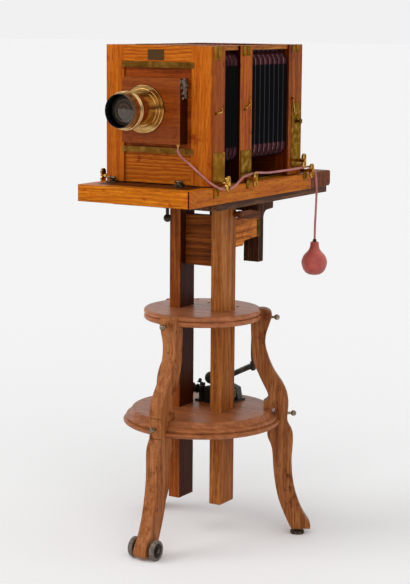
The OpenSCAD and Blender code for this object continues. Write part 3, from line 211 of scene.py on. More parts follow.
def rubber(name, dark, mid, light, roughness):
    """Matt moulded rubber, uneven in tone, paler where it is dusty, with a fine grainy skin."""
    finish, tree, shader = surface(name, {"IOR": 1.52, "Sheen Weight": 0.15})
    place = add(tree, "ShaderNodeTexCoord")
    cloud = add(tree, "ShaderNodeTexNoise", {"Scale": 26, "Detail": 5},
                {"Vector": place.outputs["Object"]})
    tone = add(tree, "ShaderNodeValToRGB", {"stops": [(0.3, dark), (0.5, mid), (0.72, light)]},
               {"Fac": cloud})
    # A rubber skin's grain is about 0.5 mm.
    skin = add(tree, "ShaderNodeTexNoise", {"Scale": 1900, "Detail": 2},
               {"Vector": place.outputs["Object"]})
    matt = add(tree, "ShaderNodeMapRange", {3: roughness - 0.08, 4: roughness + 0.1}, {0: cloud})
    relief = add(tree, "ShaderNodeBump", {"Strength": 0.25, "Distance": 0.0004}, {"Height": skin})
    feed(shader, {"Base Color": tone, "Roughness": matt, "Normal": relief})
    return finish


hose_line = smooth_route(hose_route, 6)
hose = drawn_tube("shutter_hose", hose_line, hose_radius)
hose.data.materials.append(rubber("extruded hose rubber", "9c5450", "b2665f", "c37f78", 0.62))
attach(hose, "table")
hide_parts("hose")


# Bulb: blown red rubber, moulded in two halves with a faint seam, on a short dark ferrule.
# It hangs on the hose, and a squeeze sends the air that swings the flap.
def turned(name, profile, place, steps, body, finish, sharp=32):
    """A turned piece: its half profile of radius and height, in metres, spun round the upright."""
    mesh = bmesh.new()
    rings = []
    for radius, height in profile:
        count = 1 if radius < 1e-6 else steps
        rings.append([mesh.verts.new((radius * math.cos(2 * math.pi * k / steps),
                                      radius * math.sin(2 * math.pi * k / steps), height))
                      for k in range(count)])
    for lower, upper in zip(rings, rings[1:]):
        for k in range(steps):
            corners = [lower[k % len(lower)], lower[(k + 1) % len(lower)],
                       upper[(k + 1) % len(upper)], upper[k % len(upper)]]
            corners = list(dict.fromkeys(corners))
            if len(corners) > 2:
                mesh.faces.new(corners)
    if len(rings[0]) > 1 and profile[0] != profile[-1]:
        mesh.faces.new(rings[0])
        mesh.faces.new(rings[-1])
    bmesh.ops.remove_doubles(mesh, verts=mesh.verts, dist=1e-7)
    bmesh.ops.recalc_face_normals(mesh, faces=mesh.faces)
    bmesh.ops.transform(mesh, matrix=Matrix.Translation(place), verts=mesh.verts)
    data = bpy.data.meshes.new(name)
    mesh.to_mesh(data)
    mesh.free()
    data.shade_smooth()
    data.set_sharp_from_angle(angle=math.radians(sharp))
    piece = put(name, data)
    data.materials.append(finish)
    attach(piece, body)
    return piece


bulb_neck = Vector((0.215, 0.305, 0.913))
bulb_shape = [(0, -0.1150), (0.010, -0.1144), (0.020, -0.1120), (0.029, -0.1060), (0.0355, -0.0965),
              (0.0395, -0.0850), (0.0405, -0.0780), (0.0410, -0.0765), (0.0410, -0.0745), (0.0404, -0.0700),
              (0.0388, -0.0630), (0.0360, -0.0560), (0.0322, -0.0500), (0.0276, -0.0450), (0.0228, -0.0402),
              (0.0188, -0.0350), (0.0160, -0.0295), (0.0144, -0.0235), (0.0137, -0.0175), (0.0134, -0.0130),
              (0.0128, -0.0102), (0.0112, -0.0090), (0.0066, -0.0088), (0, -0.0088)]
bulb = turned("squeeze_bulb", bulb_shape, bulb_neck, 72, body="table", sharp=60,
              finish=rubber("moulded bulb rubber", "9c3a30", "b44c40", "c65f50", 0.5))
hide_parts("bulb")


def within(tree, axes, limits):
    """A mask: 1 where each listed coordinate lies within a width of its value, else 0."""
    mask = None
    for axis, value, width in limits:
        near = add(tree, "ShaderNodeMath", {"operation": "COMPARE", 1: value, 2: width},
                   {0: axes.outputs["XYZ".index(axis)]})
        if mask:
            near = add(tree, "ShaderNodeMath", {"operation": "MULTIPLY"}, {0: mask, 1: near})
        mask = near.outputs[0]
    return mask


def recolour(finish, mask, code):
    """Where the mask is 1, the finish has another tone."""
    base = finish.node_tree.nodes["Principled BSDF"].inputs["Base Color"]
    mixed = add(finish.node_tree, "ShaderNodeMix", {"data_type": "RGBA", 7: linear(code)},
                {0: mask, 6: base.links[0].from_socket})
    finish.node_tree.links.new(mixed.outputs[2], base)


def reach_from(tree, centre, weights):
    """The distance from a centre, counted along the weighted axes."""
    place = add(tree, "ShaderNodeTexCoord")
    away = add(tree, "ShaderNodeVectorMath", {"operation": "SUBTRACT", 1: centre},
               {0: place.outputs["Object"]})
    away = add(tree, "ShaderNodeVectorMath", {"operation": "MULTIPLY", 1: weights}, {0: away})
    return add(tree, "ShaderNodeVectorMath", {"operation": "LENGTH"}, {0: away}).outputs["Value"]


def metal(name, dark, mid, light, roughness, patina=24, scratches=0.15, metallic=1.0, relief=0.0,
          patches=()):
    """A metal surface: tones of its patina, uneven polish and fine handling scratches.
    patches are boxes of another tone, each a colour with its limits."""
    finish, tree, shader = surface(name, {"Metallic": metallic, "Specular Tint": linear("e2d0b0")})
    place = add(tree, "ShaderNodeTexCoord")
    cloud = add(tree, "ShaderNodeTexNoise", {"Scale": patina, "Detail": 6, "Roughness": 0.6},
                {"Vector": place.outputs["Object"]})
    tone = add(tree, "ShaderNodeValToRGB", {"stops": [(0.34, dark), (0.5, mid), (0.66, light)]},
               {"Fac": cloud})
    smears = add(tree, "ShaderNodeTexNoise", {"Scale": patina * 5, "Detail": 4},
                 {"Vector": place.outputs["Object"]})
    polish = add(tree, "ShaderNodeMapRange", {3: max(roughness - 0.1, 0.05), 4: roughness + 0.14},
                 {0: smears})
    # Scratches are a few tenths of a millimetre apart, drawn out along the piece.
    drawn = add(tree, "ShaderNodeMapping", {"Scale": (900, 120, 900)},
                {"Vector": place.outputs["Object"]})
    lines = add(tree, "ShaderNodeTexNoise", {"Scale": 1.0, "Detail": 2}, {"Vector": drawn})
    rough_cast = add(tree, "ShaderNodeMath", {"operation": "MULTIPLY_ADD", 1: relief},
                     {0: smears, 2: lines})
    bump = add(tree, "ShaderNodeBump", {"Strength": scratches, "Distance": 0.0005},
               {"Height": rough_cast})
    feed(shader, {"Base Color": tone, "Roughness": polish, "Normal": bump})
    axes = add(tree, "ShaderNodeSeparateXYZ", {}, {0: place.outputs["Object"]})
    for code, limits in patches:
        recolour(finish, within(tree, axes, limits), code)
    return finish


dark_ferrule = metal("blackened ferrule brass", "1e1812", "3a2e20", "6b5333", 0.38)
ferrule = turned("bulb_ferrule", [(0.0036, 0.0), (0.0050, 0.0), (0.0056, -0.0012), (0.0052, -0.0022),
                                  (0.0060, -0.0034), (0.0060, -0.0046), (0.0056, -0.0056),
                                  (0.0066, -0.0066), (0.0066, -0.0100), (0.0036, -0.0100)],
                 bulb_neck, 40, body="table", finish=dark_ferrule)


# Turned discs of the stand: stained walnut boards glued edge to edge, then turned and french polished.
# The polish gives their flat tops a pale sheen, and each board has a tone of its own.
grain = bpy.data.node_groups.new("sawn grain", "ShaderNodeTree")
grain.interface.new_socket("Along", in_out="INPUT", socket_type="NodeSocketVector")
for part in ("Figure", "Pores", "Shade", "Rings"):
    grain.interface.new_socket(part, in_out="OUTPUT", socket_type="NodeSocketFloat")
start = add(grain, "NodeGroupInput")
# The tree's heart lies off the board, so its rings, 8 to 14 mm apart, run in long arches.
long_waves = add(grain, "ShaderNodeMapping", {"Scale": (7, 7, 1.5)}, {"Vector": start})
bend = add(grain, "ShaderNodeTexNoise", {"Scale": 1.0, "Detail": 2}, {"Vector": long_waves})
bend_centre = add(grain, "ShaderNodeVectorMath", {"operation": "SUBTRACT", 1: (0.5, 0.5, 0.5)},
                  {0: bend.outputs["Color"]})
bent = add(grain, "ShaderNodeVectorMath", {"operation": "MULTIPLY_ADD", 1: (0.05, 0.05, 0.0)},
           {0: bend_centre, 2: start})
heart = add(grain, "ShaderNodeMapping", {"Location": (0.09, 0.16, 0.0), "Rotation": (0.07, 0.13, 0),
                                         "Scale": (1, 1, 0.4)}, {"Vector": bent})
rings = add(grain, "ShaderNodeTexWave",
            {"wave_type": "RINGS", "rings_direction": "Z", "wave_profile": "SAW", "Scale": 28,
             "Distortion": 2.2, "Detail": 2, "Detail Scale": 1.2}, {"Vector": heart})
# Streaks about 7 mm wide, finer ones of 2 mm, and open pores, all drawn out along the grain.
wide = add(grain, "ShaderNodeMapping", {"Scale": (75, 75, 3.2)}, {"Vector": bent})
streaks = add(grain, "ShaderNodeTexNoise", {"Scale": 1.0, "Detail": 3, "Roughness": 0.55},
              {"Vector": wide})
fine = add(grain, "ShaderNodeMapping", {"Scale": (330, 330, 11)}, {"Vector": bent})
hairs = add(grain, "ShaderNodeTexNoise", {"Scale": 1.0, "Detail": 2}, {"Vector": fine})
narrow = add(grain, "ShaderNodeMapping", {"Scale": (1250, 1250, 30)}, {"Vector": start})
flecks = add(grain, "ShaderNodeTexNoise", {"Scale": 1.0, "Detail": 1}, {"Vector": narrow})
pores = add(grain, "ShaderNodeMapRange", {1: 0.56, 2: 0.68}, {0: flecks})
figure = add(grain, "ShaderNodeMath", {"operation": "MULTIPLY_ADD", 1: 1.15, 2: -0.33}, {0: streaks})
figure = add(grain, "ShaderNodeMath", {"operation": "MULTIPLY_ADD", 1: 0.5}, {0: hairs, 2: figure})
broad = add(grain, "ShaderNodeMapping", {"Scale": (5, 5, 2.2)}, {"Vector": start})
shade = add(grain, "ShaderNodeTexNoise", {"Scale": 1.0, "Detail": 3}, {"Vector": broad})
add(grain, "NodeGroupOutput", {}, {"Figure": figure, "Pores": pores,
                                   "Shade": shade, "Rings": rings.outputs["Fac"]})

# The turns that lay the upright grain along each axis.
grain_turns = {"X": (0, math.pi / 2, 0), "Y": (math.pi / 2, 0, 0), "Z": (0, 0, 0)}


def wood(name, tones, along, shift, gloss, coat, cross=None, stain=None, boards=0.0,
         lines=(), arches=(0.12, 0.3), faces=()):
    """Polished wood: three tones of its figure, grain along one axis, pores, stains, and pale edges that are
    partly wear and partly painted highlight.
    cross turns the grain between two values of one coordinate, lines are dark joints,
    and faces are painted shade: darker tones on the faces across an axis."""
    finish, tree, shader = surface(name, {"IOR": 1.5, "Specular IOR Level": 0.03 + 0.8 * coat,
                                          "Coat Weight": coat, "Coat Roughness": 0.2})
    place = add(tree, "ShaderNodeTexCoord")
    axes = add(tree, "ShaderNodeSeparateXYZ", {}, {0: place.outputs["Object"]})
    # Each piece, and each run within it, is cut from another place in the tree.
    runs = [(along, shift)] + ([(cross[3], shift + 0.37)] if cross else [])
    made = []
    for (lay, offset), arch in zip(runs, arches):
        turned_to = add(tree, "ShaderNodeMapping", {"Rotation": grain_turns[lay]},
                        {"Vector": place.outputs["Object"]})
        moved = add(tree, "ShaderNodeVectorMath", {"operation": "ADD", 1: (offset, offset * 0.7, offset * 3)},
                    {0: turned_to})
        group = add(tree, "ShaderNodeGroup", {"node_tree": grain}, {0: moved})
        ring = add(tree, "ShaderNodeMath", {"operation": "SUBTRACT", 1: 0.5}, {0: group.outputs["Rings"]})
        ring = add(tree, "ShaderNodeMath", {"operation": "MULTIPLY_ADD", 1: arch},
                   {0: ring, 2: group.outputs["Figure"]})
        made.append((ring.outputs[0], group.outputs["Pores"], group.outputs["Shade"]))
    out = made[0]
    if cross:
        axis, low, high = "XYZ".index(cross[0]), cross[1], cross[2]
        centre = add(tree, "ShaderNodeMath", {"operation": "SUBTRACT", 1: (low + high) / 2},
                     {0: axes.outputs[axis]})
        away = add(tree, "ShaderNodeMath", {"operation": "ABSOLUTE"}, {0: centre})
        inside = add(tree, "ShaderNodeMath", {"operation": "LESS_THAN", 1: (high - low) / 2}, {0: away})
        out = [add(tree, "ShaderNodeMix", {}, {0: inside, 2: made[0][i],
                                               3: made[1][i]}).outputs[0] for i in range(3)]
    figured, porous, shaded = out
    # Broad shade moves the whole tone up or down by about a tenth.
    tone_at = add(tree, "ShaderNodeMath", {"operation": "MULTIPLY_ADD", 1: 0.55, 2: -0.27}, {0: shaded})
    tone_at = add(tree, "ShaderNodeMath", {"operation": "ADD"}, {0: figured, 1: tone_at})
    if boards:
        cut = add(tree, "ShaderNodeMath", {"operation": "DIVIDE", 1: boards},
                  {0: axes.outputs[1 if along == "X" else 0]})
        cut = add(tree, "ShaderNodeMath", {"operation": "FLOOR"}, {0: cut})
        each = add(tree, "ShaderNodeTexWhiteNoise", {"noise_dimensions": "1D"}, {"W": cut})
        each = add(tree, "ShaderNodeMath", {"operation": "MULTIPLY_ADD", 1: 0.16, 2: -0.08}, {0: each})
        tone_at = add(tree, "ShaderNodeMath", {"operation": "ADD"}, {0: tone_at, 1: each})
    tone = add(tree, "ShaderNodeValToRGB",
               {"stops": [(0.28, tones[0]), (0.5, tones[1]), (0.72, tones[2])]},
               {"Fac": tone_at})
    # Pores, stains, joints and the painted shade of faces across an axis each darken the tone where their
    # mask is 1.
    shades = [(porous, "9a7a66")]
    if stain:
        blot = add(tree, "ShaderNodeTexNoise", {"Scale": stain[1], "Detail": 6, "Roughness": 0.65},
                   {"Vector": place.outputs["Object"]})
        blot = add(tree, "ShaderNodeMapRange", {1: stain[2], 2: stain[2] + 0.14}, {0: blot})
        shades.append((blot, stain[0]))
    shades += [(within(tree, axes, line), "5a4438") for line in lines]
    # Faces across each listed axis get a painted shade: a darker tone for how the light falls on them.
    for axis, code in faces:
        painted_face_shade = add(tree, "ShaderNodeSeparateXYZ", {}, {0: place.outputs["Normal"]})
        painted_face_shade = add(tree, "ShaderNodeMath", {"operation": "ABSOLUTE"}, {0: painted_face_shade.outputs["XYZ".index(axis)]})
        painted_face_shade = add(tree, "ShaderNodeMapRange", {1: 0.55, 2: 0.9}, {0: painted_face_shade})
        shades.append((painted_face_shade, code))
    colour = tone.outputs[0]
    for mask, code in shades:
        colour = add(tree, "ShaderNodeMix", {"data_type": "RGBA", "blend_type": "MULTIPLY", 7: linear(code)},
                     {0: mask, 6: colour}).outputs[2]
    # Edges are paler: partly rubbed where hands and the floor have worn the polish, partly a painted
    # highlight.
    soft_edge = add(tree, "ShaderNodeBevel", {"samples": 4, "Radius": 0.0022})
    truth = add(tree, "ShaderNodeNewGeometry")
    meet = add(tree, "ShaderNodeVectorMath", {"operation": "DOT_PRODUCT"},
               {0: soft_edge, 1: truth.outputs["Normal"]})
    edge_wear_and_highlight = add(tree, "ShaderNodeMapRange", {1: 0.99, 2: 0.86, 3: 0.0, 4: 0.45}, {0: meet.outputs["Value"]})
    edge_wear_and_highlight = add(tree, "ShaderNodeMath", {"operation": "MULTIPLY"}, {0: edge_wear_and_highlight, 1: figured})
    colour = add(tree, "ShaderNodeMix", {"data_type": "RGBA", 7: linear("c08a50")},
                 {0: edge_wear_and_highlight, 6: colour}).outputs[2]
    dull = add(tree, "ShaderNodeMapRange", {3: gloss - 0.07, 4: gloss + 0.12}, {0: shaded})
    dull = add(tree, "ShaderNodeMath", {"operation": "MULTIPLY_ADD", 1: 0.2}, {0: porous, 2: dull})
    depth = add(tree, "ShaderNodeMath", {"operation": "MULTIPLY_ADD", 1: -0.8}, {0: porous, 2: figured})
    relief = add(tree, "ShaderNodeBump", {"Strength": 0.22, "Distance": 0.0004},
                 {"Height": depth, "Normal": soft_edge})
    feed(shader, {"Base Color": colour, "Roughness": dull, "Normal": relief})
    return finish


def dress(finish, *names):
    """Gives CAD nodes a finish."""
    for name in names:
        for slot in nodes[name].material_slots:
            slot.material = finish


dress(wood("polished walnut, upper disc", ("965937", "ac6840", "bf784e"), "X", 0.3, 0.36, 0.16, boards=0.12),
      "upper_disc")
dress(wood("polished walnut, lower disc", ("884e29", "9e5c32", "b06b3f"), "X", 1.1, 0.36, 0.14, boards=0.13),
      "lower_disc")

# Legs: three oak legs band-sawn to a double curve, stained and waxed, bolted to both discs.
# Their grain runs straight down through the curves and shows open pores.
dress(wood("waxed oak, front leg", ("864b25", "9c5f35", "af7044"), "Z", 2.3, 0.42, 0.04,
           stain=("b08a70", 22, 0.56)), "leg_front")
dress(wood("waxed oak, side legs", ("723f1e", "8c532c", "a2673b"), "Z", 3.1, 0.42, 0.04,
           stain=("b08a70", 22, 0.56)), "leg_right", "leg_left")

# Leg bolts: steel with turned ball heads, blued black and polished by handling.
# The balls are small mirrors with one hard highlight each.
blued = metal("blued bolt steel", "645a4c", "968a78", "c8bea8", 0.22, 60)
dress(blued, "stand_bolts")

# Castor: two cast wheels on an iron axle through the front leg's foot.
# Their treads are worn grey, and the dished sides are darker within about 21 to 23 mm of the hub.
castor = metal("worn castor iron", "4a413b", "6b6059", "857a72", 0.7, 90, 0.5, 0.0, 3.0)
tree = castor.node_tree
hub_reach = reach_from(tree, (0, -0.342, 0.031), (0, 1, 1))
hub_darkening = add(tree, "ShaderNodeMapRange", {1: 0.0205, 2: 0.0235, 3: 1.0, 4: 0.0}, {0: hub_reach})
recolour(castor, hub_darkening.outputs[0], "1d1815")
dress(castor, "wheel_left", "wheel_right")
dress(metal("rusted axle iron", "2c2521", "4b413a", "6e6157", 0.5, 80, 0.4, 0.6), "wheel_axle")

# Levelling feet: turned steel pads on screws, under the two side legs.
# The steel is browned, and paler where the brown has worn thin.
dress(metal("browned foot steel", "2a221d", "4d4037", "7a685b", 0.36, 70), "foot_left", "foot_right")

# Lift gear: cast iron frame, crank and pawl, black painted, with the paint rubbed thin on the arm.
# The casting skin is slightly pebbled.
black_paint = metal("black paint on cast iron", "100e0d", "1b1918", "2b2827", 0.42, 40, 0.5, 0.0, 4.0)
dress(black_paint, "gear_frame", "pawl")
dress(metal("rubbed paint on the crank", "161413", "2c2a29", "504c4b", 0.42, 34, 0.5, 0.0, 4.0),
      "crank_arm", "crank_grip")
dress(metal("oiled pinion steel", "26221f", "47413b", "6d655c", 0.34, 60), "pinion_shaft", "lift_racks")

# Posts: two square oak posts that slide through the discs, their corners eased.
# The left one is browner; tall straight grain runs their whole length.
dress(wood("waxed oak, right post", ("81481d", "9e5c28", "b9753d"), "Z", 4.7, 0.4, 0.03), "post_right")
# The left post's faces across X carry a painted shade.
dress(wood("waxed oak, left post", ("73370f", "8d4617", "a25720"), "Z", 5.9, 0.4, 0.03,
           faces=[("X", "84746c")]), "post_left")
dress(wood("walnut cross board", ("5b2c0d", "7c3f14", "9a5523"), "X", 6.2, 0.5, 0.02), "cross_board")
dress(wood("knotty oak cheeks", ("833e13", "b26120", "da8337"), "Y", 7.7, 0.45, 0.03,
           stain=("8a5a3c", 34, 0.55)), "cheeks")
dress(wood("dark table arms", ("2a1810", "4a2a1a", "6a4028"), "Z", 8.1, 0.5, 0.02), "table_arms")
dress(wood("oak clamp lever", ("572a12", "703b1f", "884e2a"), "Y", 8.8, 0.45, 0.03), "lock_lever")

# Brass of the frames, column and hinges: rolled sheet, never polished, olive brown with age.
# The column's straps are the darkest, and the tracks that the pinions run on the brightest.
aged_brass = metal("aged sheet brass", "563c14", "785422", "9c7a3e", 0.3, 55, 0.3)
dress(aged_brass, "middle_brass", "rear_brass")
# The small plate on the top rail is bare, and duller than the strips.
dress(metal("aged front brass", "6c4818", "8c6024", "ac8040", 0.36, 30, 0.2,
            patches=[("684c30", [("X", -0.0055, 0.029), ("Z", 1.497, 0.017)])]), "front_brass")
dress(metal("tarnished strap brass", "2e2416", "4a3a22", "6a5636", 0.42, 30, 0.2),
      "column_brass", "table_hinges")
dress(metal("track brass", "6a4c1e", "8f6a2c", "b18a45", 0.34, 30, 0.2), "focus_racks")

# Table and its clamp: a walnut board with worn corners.
# The clamp is a black screw with a ball, under the board's front.
dress(wood("walnut table board", ("452a1c", "63402b", "825a40"), "Y", 9.4, 0.45, 0.03, boards=0.14),
      "table_board")
dress(black_paint, "bed_clamp")

# Camera bed: golden oak rails and front rail round a thinner board, varnished, and a walnut tail.
# Fine dark joints cross the rails, and the front rail's ends show dark end grain at the corners.
# The rails' faces across X carry a light painted shade.
dress(wood("varnished oak bed", ("b15d09", "c66c0e", "d27f17"), "Y", 10.2, 0.36, 0.03,
           cross=("Y", -0.5, -0.374, "X"),
           stain=("b07040", 30, 0.6), faces=[("X", "eee4d6")],
           lines=([("Y", -0.284, 0.0006)], [("X", 0.1895, 0.0035), ("Y", -0.414, 0.0008)])), "bed_rails")
# The board's dark tone is painted shade, for the shade it lies in under the bellows.
dress(wood("varnished oak board", ("43200c", "5c3014", "7a4420"), "Y", 11.6, 0.4, 0.03, boards=0.11),
      "bed_panel")
dress(wood("walnut tail", ("4e2410", "6e3616", "884624"), "X", 12.4, 0.4, 0.03,
           lines=([("Y", 0.339, 0.0008)],)), "bed_tail")

# Front frame: golden oak stiles with upright grain, and rails and foot panel with long arches across.
# The right side is darker, partly a browner wood and partly painted shade, and there are red stains.
dress(wood("varnished oak front frame", ("a9520b", "bc5e0f", "c76e18"), "Z", 13.3, 0.36, 0.03,
           cross=("X", -0.116, 0.116, "X"),
           stain=("b4653a", 18, 0.58), faces=[("X", "cdbfae")], arches=(0.12, 0.9)), "front_frame")
# The middle frame's faces across Y are painted near black: painted shade inside the camera.
dress(wood("varnished oak middle frame", ("833501", "a54d02", "c26605"), "Z", 14.9, 0.36, 0.03,
           cross=("X", -0.138, 0.138, "X"), stain=("b4764a", 20, 0.58),
           faces=[("Y", "3c3030")]), "middle_frame")
# The rear frame's faces across Y carry a lighter painted shade.
dress(wood("varnished oak rear frame", ("732e01", "914402", "ad5a06"), "Z", 15.7, 0.36, 0.03,
           cross=("X", -0.138, 0.138, "X"), stain=("b4764a", 20, 0.58),
           faces=[("Y", "a89080")]), "rear_frame")
dress(wood("varnished oak top bars", ("7c3f16", "a05c24", "bd7a38"), "Y", 16.1, 0.4, 0.03), "top_bars")

# Lens board and shutter box: mahogany, french polished to a deep red brown, with pale edges, partly worn and
# partly painted highlight.
dress(wood("mahogany lens board", ("773108", "8d3d0f", "a64d14"), "X", 17.4, 0.35, 0.03), "lens_panel")
# The box's faces across X carry a painted shade.
dress(wood("mahogany shutter box", ("793305", "883c08", "93470b"), "X", 18.2, 0.3, 0.12,
           stain=("a06a50", 26, 0.6), faces=[("X", "6a5650")]), "shutter_box")
dress(wood("mahogany screen frame", ("5a2812", "7e421f", "9c5c30"), "Z", 19.5, 0.35, 0.03,
           cross=("X", -0.125, 0.125, "X")), "glass_frame")

# Catches at the frame's foot: blackened iron, with paler worn spots.
# The bearing plate up on the box belongs to the same node and is nickel, so it is a paler patch.
dress(metal("blackened catch iron", "3c342a", "66594a", "a0907a", 0.3, 120, 0.4, 0.8,
            patches=[("b4aea4", [("Z", 1.41, 0.06)])]), "front_catches")
dress(metal("nickel flap and lever", "6e6a62", "918d86", "b6b3ac", 0.26, 60), "shutter_flap")

# Scroll work round the flap's bearing: bent nickel wire soldered up as leaves on the box's corner.
# Each scroll is a spiral that opens over one and a half turns.
scroll_wire = bpy.data.curves.new("bearing_scrolls", "CURVE")
scroll_wire.dimensions = "3D"
scroll_wire.bevel_depth = 0.0014
scroll_wire.bevel_resolution = 2
box_side, box_top, box_edge, scroll_steps = 0.1008, 1.432, -0.320, 24
for back_by, down_by, size, begin, turning in (
        (0.004, 0.010, 0.0070, 2.6, -1), (0.019, 0.008, 0.0080, 0.4, 1), (0.034, 0.012, 0.0070, 3.0, 1),
        (0.010, 0.025, 0.0078, 4.2, 1), (0.027, 0.027, 0.0078, 0.2, -1), (0.013, 0.042, 0.0064, 5.0, 1),
        (0.026, 0.043, 0.0056, 1.2, -1), (0.018, 0.056, 0.0050, 2.0, 1)):
    wire = []
    for k in range(scroll_steps + 1):
        turn_at = begin + turning * 3 * math.pi * k / scroll_steps
        open_by = size * (0.22 + 0.78 * k / scroll_steps)
        wire.append((box_side, box_edge + back_by + open_by * math.cos(turn_at),
                     box_top - down_by + open_by * math.sin(turn_at)))
    spline = scroll_wire.splines.new("POLY")
    spline.points.add(len(wire) - 1)
    for point, spot in zip(spline.points, wire):
        point.co = (*spot, 1)
maker = put("bearing_scrolls", scroll_wire)
bpy.context.view_layer.update()
scrolls = put("bearing_scrolls", bpy.data.meshes.new_from_object(
    maker.evaluated_get(bpy.context.evaluated_depsgraph_get())))
bpy.data.objects.remove(maker)
scrolls.data.materials.clear()
scrolls.data.materials.append(metal("nickelled scroll wire", "5c5850", "8a867e", "c6c2b8", 0.2, 200))
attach(scrolls, "table")

# Lens: spun and turned brass, lacquered, with a blackened inside and a black enamelled hood.
# Its glass is a thick cemented pair that mirrors the room, with rings of painted reflection in its grey and
# brown.
lens_brass = metal("lacquered lens brass", "986e38", "b88c52", "d0aa70", 0.16, 30, 0.03)
dress(lens_brass, "lens_flange")
lens_axis = (-0.023, 0, 1.341)
barrel_brass = metal("lacquered barrel brass", "b08a54", "cea874", "e2c490", 0.16, 30, 0.03)
tree = barrel_brass.node_tree
place = add(tree, "ShaderNodeTexCoord")
axes = add(tree, "ShaderNodeSeparateXYZ", {}, {0: place.outputs["Object"]})
# All within 44.5 mm of the axis is the blackened inside, and within 47.5 mm in the front seat.
seat = add(tree, "ShaderNodeMath", {"operation": "LESS_THAN", 1: -0.405}, {0: axes.outputs[1]})
bore = add(tree, "ShaderNodeMath", {"operation": "MULTIPLY_ADD", 1: 0.003, 2: 0.0445}, {0: seat})
inside = add(tree, "ShaderNodeMath", {"operation": "LESS_THAN"},
             {0: reach_from(tree, lens_axis, (1, 0, 1)), 1: bore})
recolour(barrel_brass, inside.outputs[0], "0b0a0a")
dress(barrel_brass, "lens_barrel")
hood = metal("black enamelled hood", "604835", "7a5a44", "947258", 0.24, 40, 0.1, 0.6)
tree = hood.node_tree
inside = add(tree, "ShaderNodeMapRange", {1: 0.0478, 2: 0.0488, 3: 1.0, 4: 0.0},
             {0: reach_from(tree, lens_axis, (1, 0, 1))})
recolour(hood, inside.outputs[0], "121a24")
dress(hood, "lens_hood")
optic, tree, shader = surface("lens glass",
                              {"Roughness": 0.04, "IOR": 1.6, "Transmission Weight": 0.45})
# Rings of grey and brown are painted into the glass's tone: a painted reflection of the mount's inner rings
# seen in it.
painted_ring_reflections = add(tree, "ShaderNodeMapRange", {2: 0.047}, {0: reach_from(tree, lens_axis, (1, 0, 1))})
painted_ring_reflections = add(tree, "ShaderNodeValToRGB",
           {"stops": [(0.0, "6a5443"), (0.34, "4e4034"), (0.4, "7a6654"), (0.46, "463a30"), (0.62, "5e5044"),
                      (0.68, "80705e"), (0.73, "38322c"), (0.86, "4a443e"), (0.95, "15171a")]},
           {"Fac": painted_ring_reflections})
feed(shader, {"Base Color": painted_ring_reflections})
dress(optic, "lens_glass")

# Knobs, hooks and the hose's nipple: cast and turned brass.
# Hands keep it brighter than the sheet brass of the frames.
bright = metal("bright handled brass", "8a6226", "b88c42", "e6c27a", 0.15, 70, 0.1)
dress(bright, "front_shaft", "middle_shaft", "rear_shaft", "back_clamp", "hook_front", "hook_middle",
      "hook_rear", "hose_nipple")

# Focusing screen: plate glass ground matt on its inner face.
# The grinding scatters the light and leaves a fine grit in the tone.
screen, tree, shader = surface("ground glass", {"IOR": 1.5, "Transmission Weight": 0.5})
place = add(tree, "ShaderNodeTexCoord")
grit = add(tree, "ShaderNodeTexNoise", {"Scale": 900, "Detail": 3}, {"Vector": place.outputs["Object"]})
frost = add(tree, "ShaderNodeValToRGB", {"stops": [(0.3, "b9c0bd"), (0.7, "d5dad7")]}, {"Fac": grit})
matt = add(tree, "ShaderNodeMapRange", {3: 0.45, 4: 0.65}, {0: grit})
feed(shader, {"Base Color": frost, "Roughness": matt})
dress(screen, "ground_glass")


# Bellows: black leathercloth over card stiffeners, pleated, with red leather let into the corners.
# Side pleats and top pleats are half a pleat apart, so the corners fold in slanting facets.
def plain_mesh(maker, name):
    """The finished result of a piece's modifiers, as a plain mesh at the origin."""
    bpy.context.view_layer.update()
    view = bpy.context.evaluated_depsgraph_get()
    data = bpy.data.meshes.new_from_object(maker.evaluated_get(view))
    data.name = name
    bpy.data.objects.remove(maker)
    return put(name, data)


pleater = bpy.data.node_groups.new("pleated sleeve", "GeometryNodeTree")
pleater.interface.new_socket("Geometry", in_out="INPUT", socket_type="NodeSocketGeometry")
sizes = {}
for part in ("Width", "Height", "Corner", "Depth", "Folds", "Start", "End", "Middle"):
    sizes[part] = pleater.interface.new_socket(part, in_out="INPUT",
                                               socket_type="NodeSocketFloat").identifier
sizes["Cloth"] = pleater.interface.new_socket("Cloth", in_out="INPUT",
                                              socket_type="NodeSocketMaterial").identifier
pleater.interface.new_socket("Geometry", in_out="OUTPUT", socket_type="NodeSocketGeometry")
give = add(pleater, "NodeGroupInput")
outline = add(pleater, "GeometryNodeCurvePrimitiveQuadrilateral", {"mode": "RECTANGLE"},
              {"Width": give.outputs["Width"], "Height": give.outputs["Height"]})
rounded = add(pleater, "GeometryNodeFilletCurve", {"mode": "POLY", "Count": 6},
              {"Curve": outline, "Radius": give.outputs["Corner"]})
rows = add(pleater, "ShaderNodeMath", {"operation": "MULTIPLY_ADD", 1: 12.0, 2: 1.0},
           {0: give.outputs["Folds"]})
sheet = add(pleater, "GeometryNodeMeshGrid", {"Size X": 1.0, "Size Y": 1.0, "Vertices X": 97},
            {"Vertices Y": rows})
here = add(pleater, "GeometryNodeInputPosition")
cut = add(pleater, "ShaderNodeSeparateXYZ", {}, {0: here})
round_at = add(pleater, "ShaderNodeMath", {"operation": "ADD", 1: 0.5}, {0: cut})
along_at = add(pleater, "ShaderNodeMath", {"operation": "ADD", 1: 0.5}, {0: cut.outputs[1]})
edge = add(pleater, "GeometryNodeSampleCurve", {"mode": "FACTOR", "use_all_curves": False},
           {"Curves": rounded, "Factor": round_at})
edge_flat = add(pleater, "ShaderNodeSeparateXYZ", {}, {0: edge.outputs["Position"]})
edge_run = add(pleater, "ShaderNodeSeparateXYZ", {}, {0: edge.outputs["Tangent"]})
steep = add(pleater, "ShaderNodeMath", {"operation": "ABSOLUTE"}, {0: edge_run})
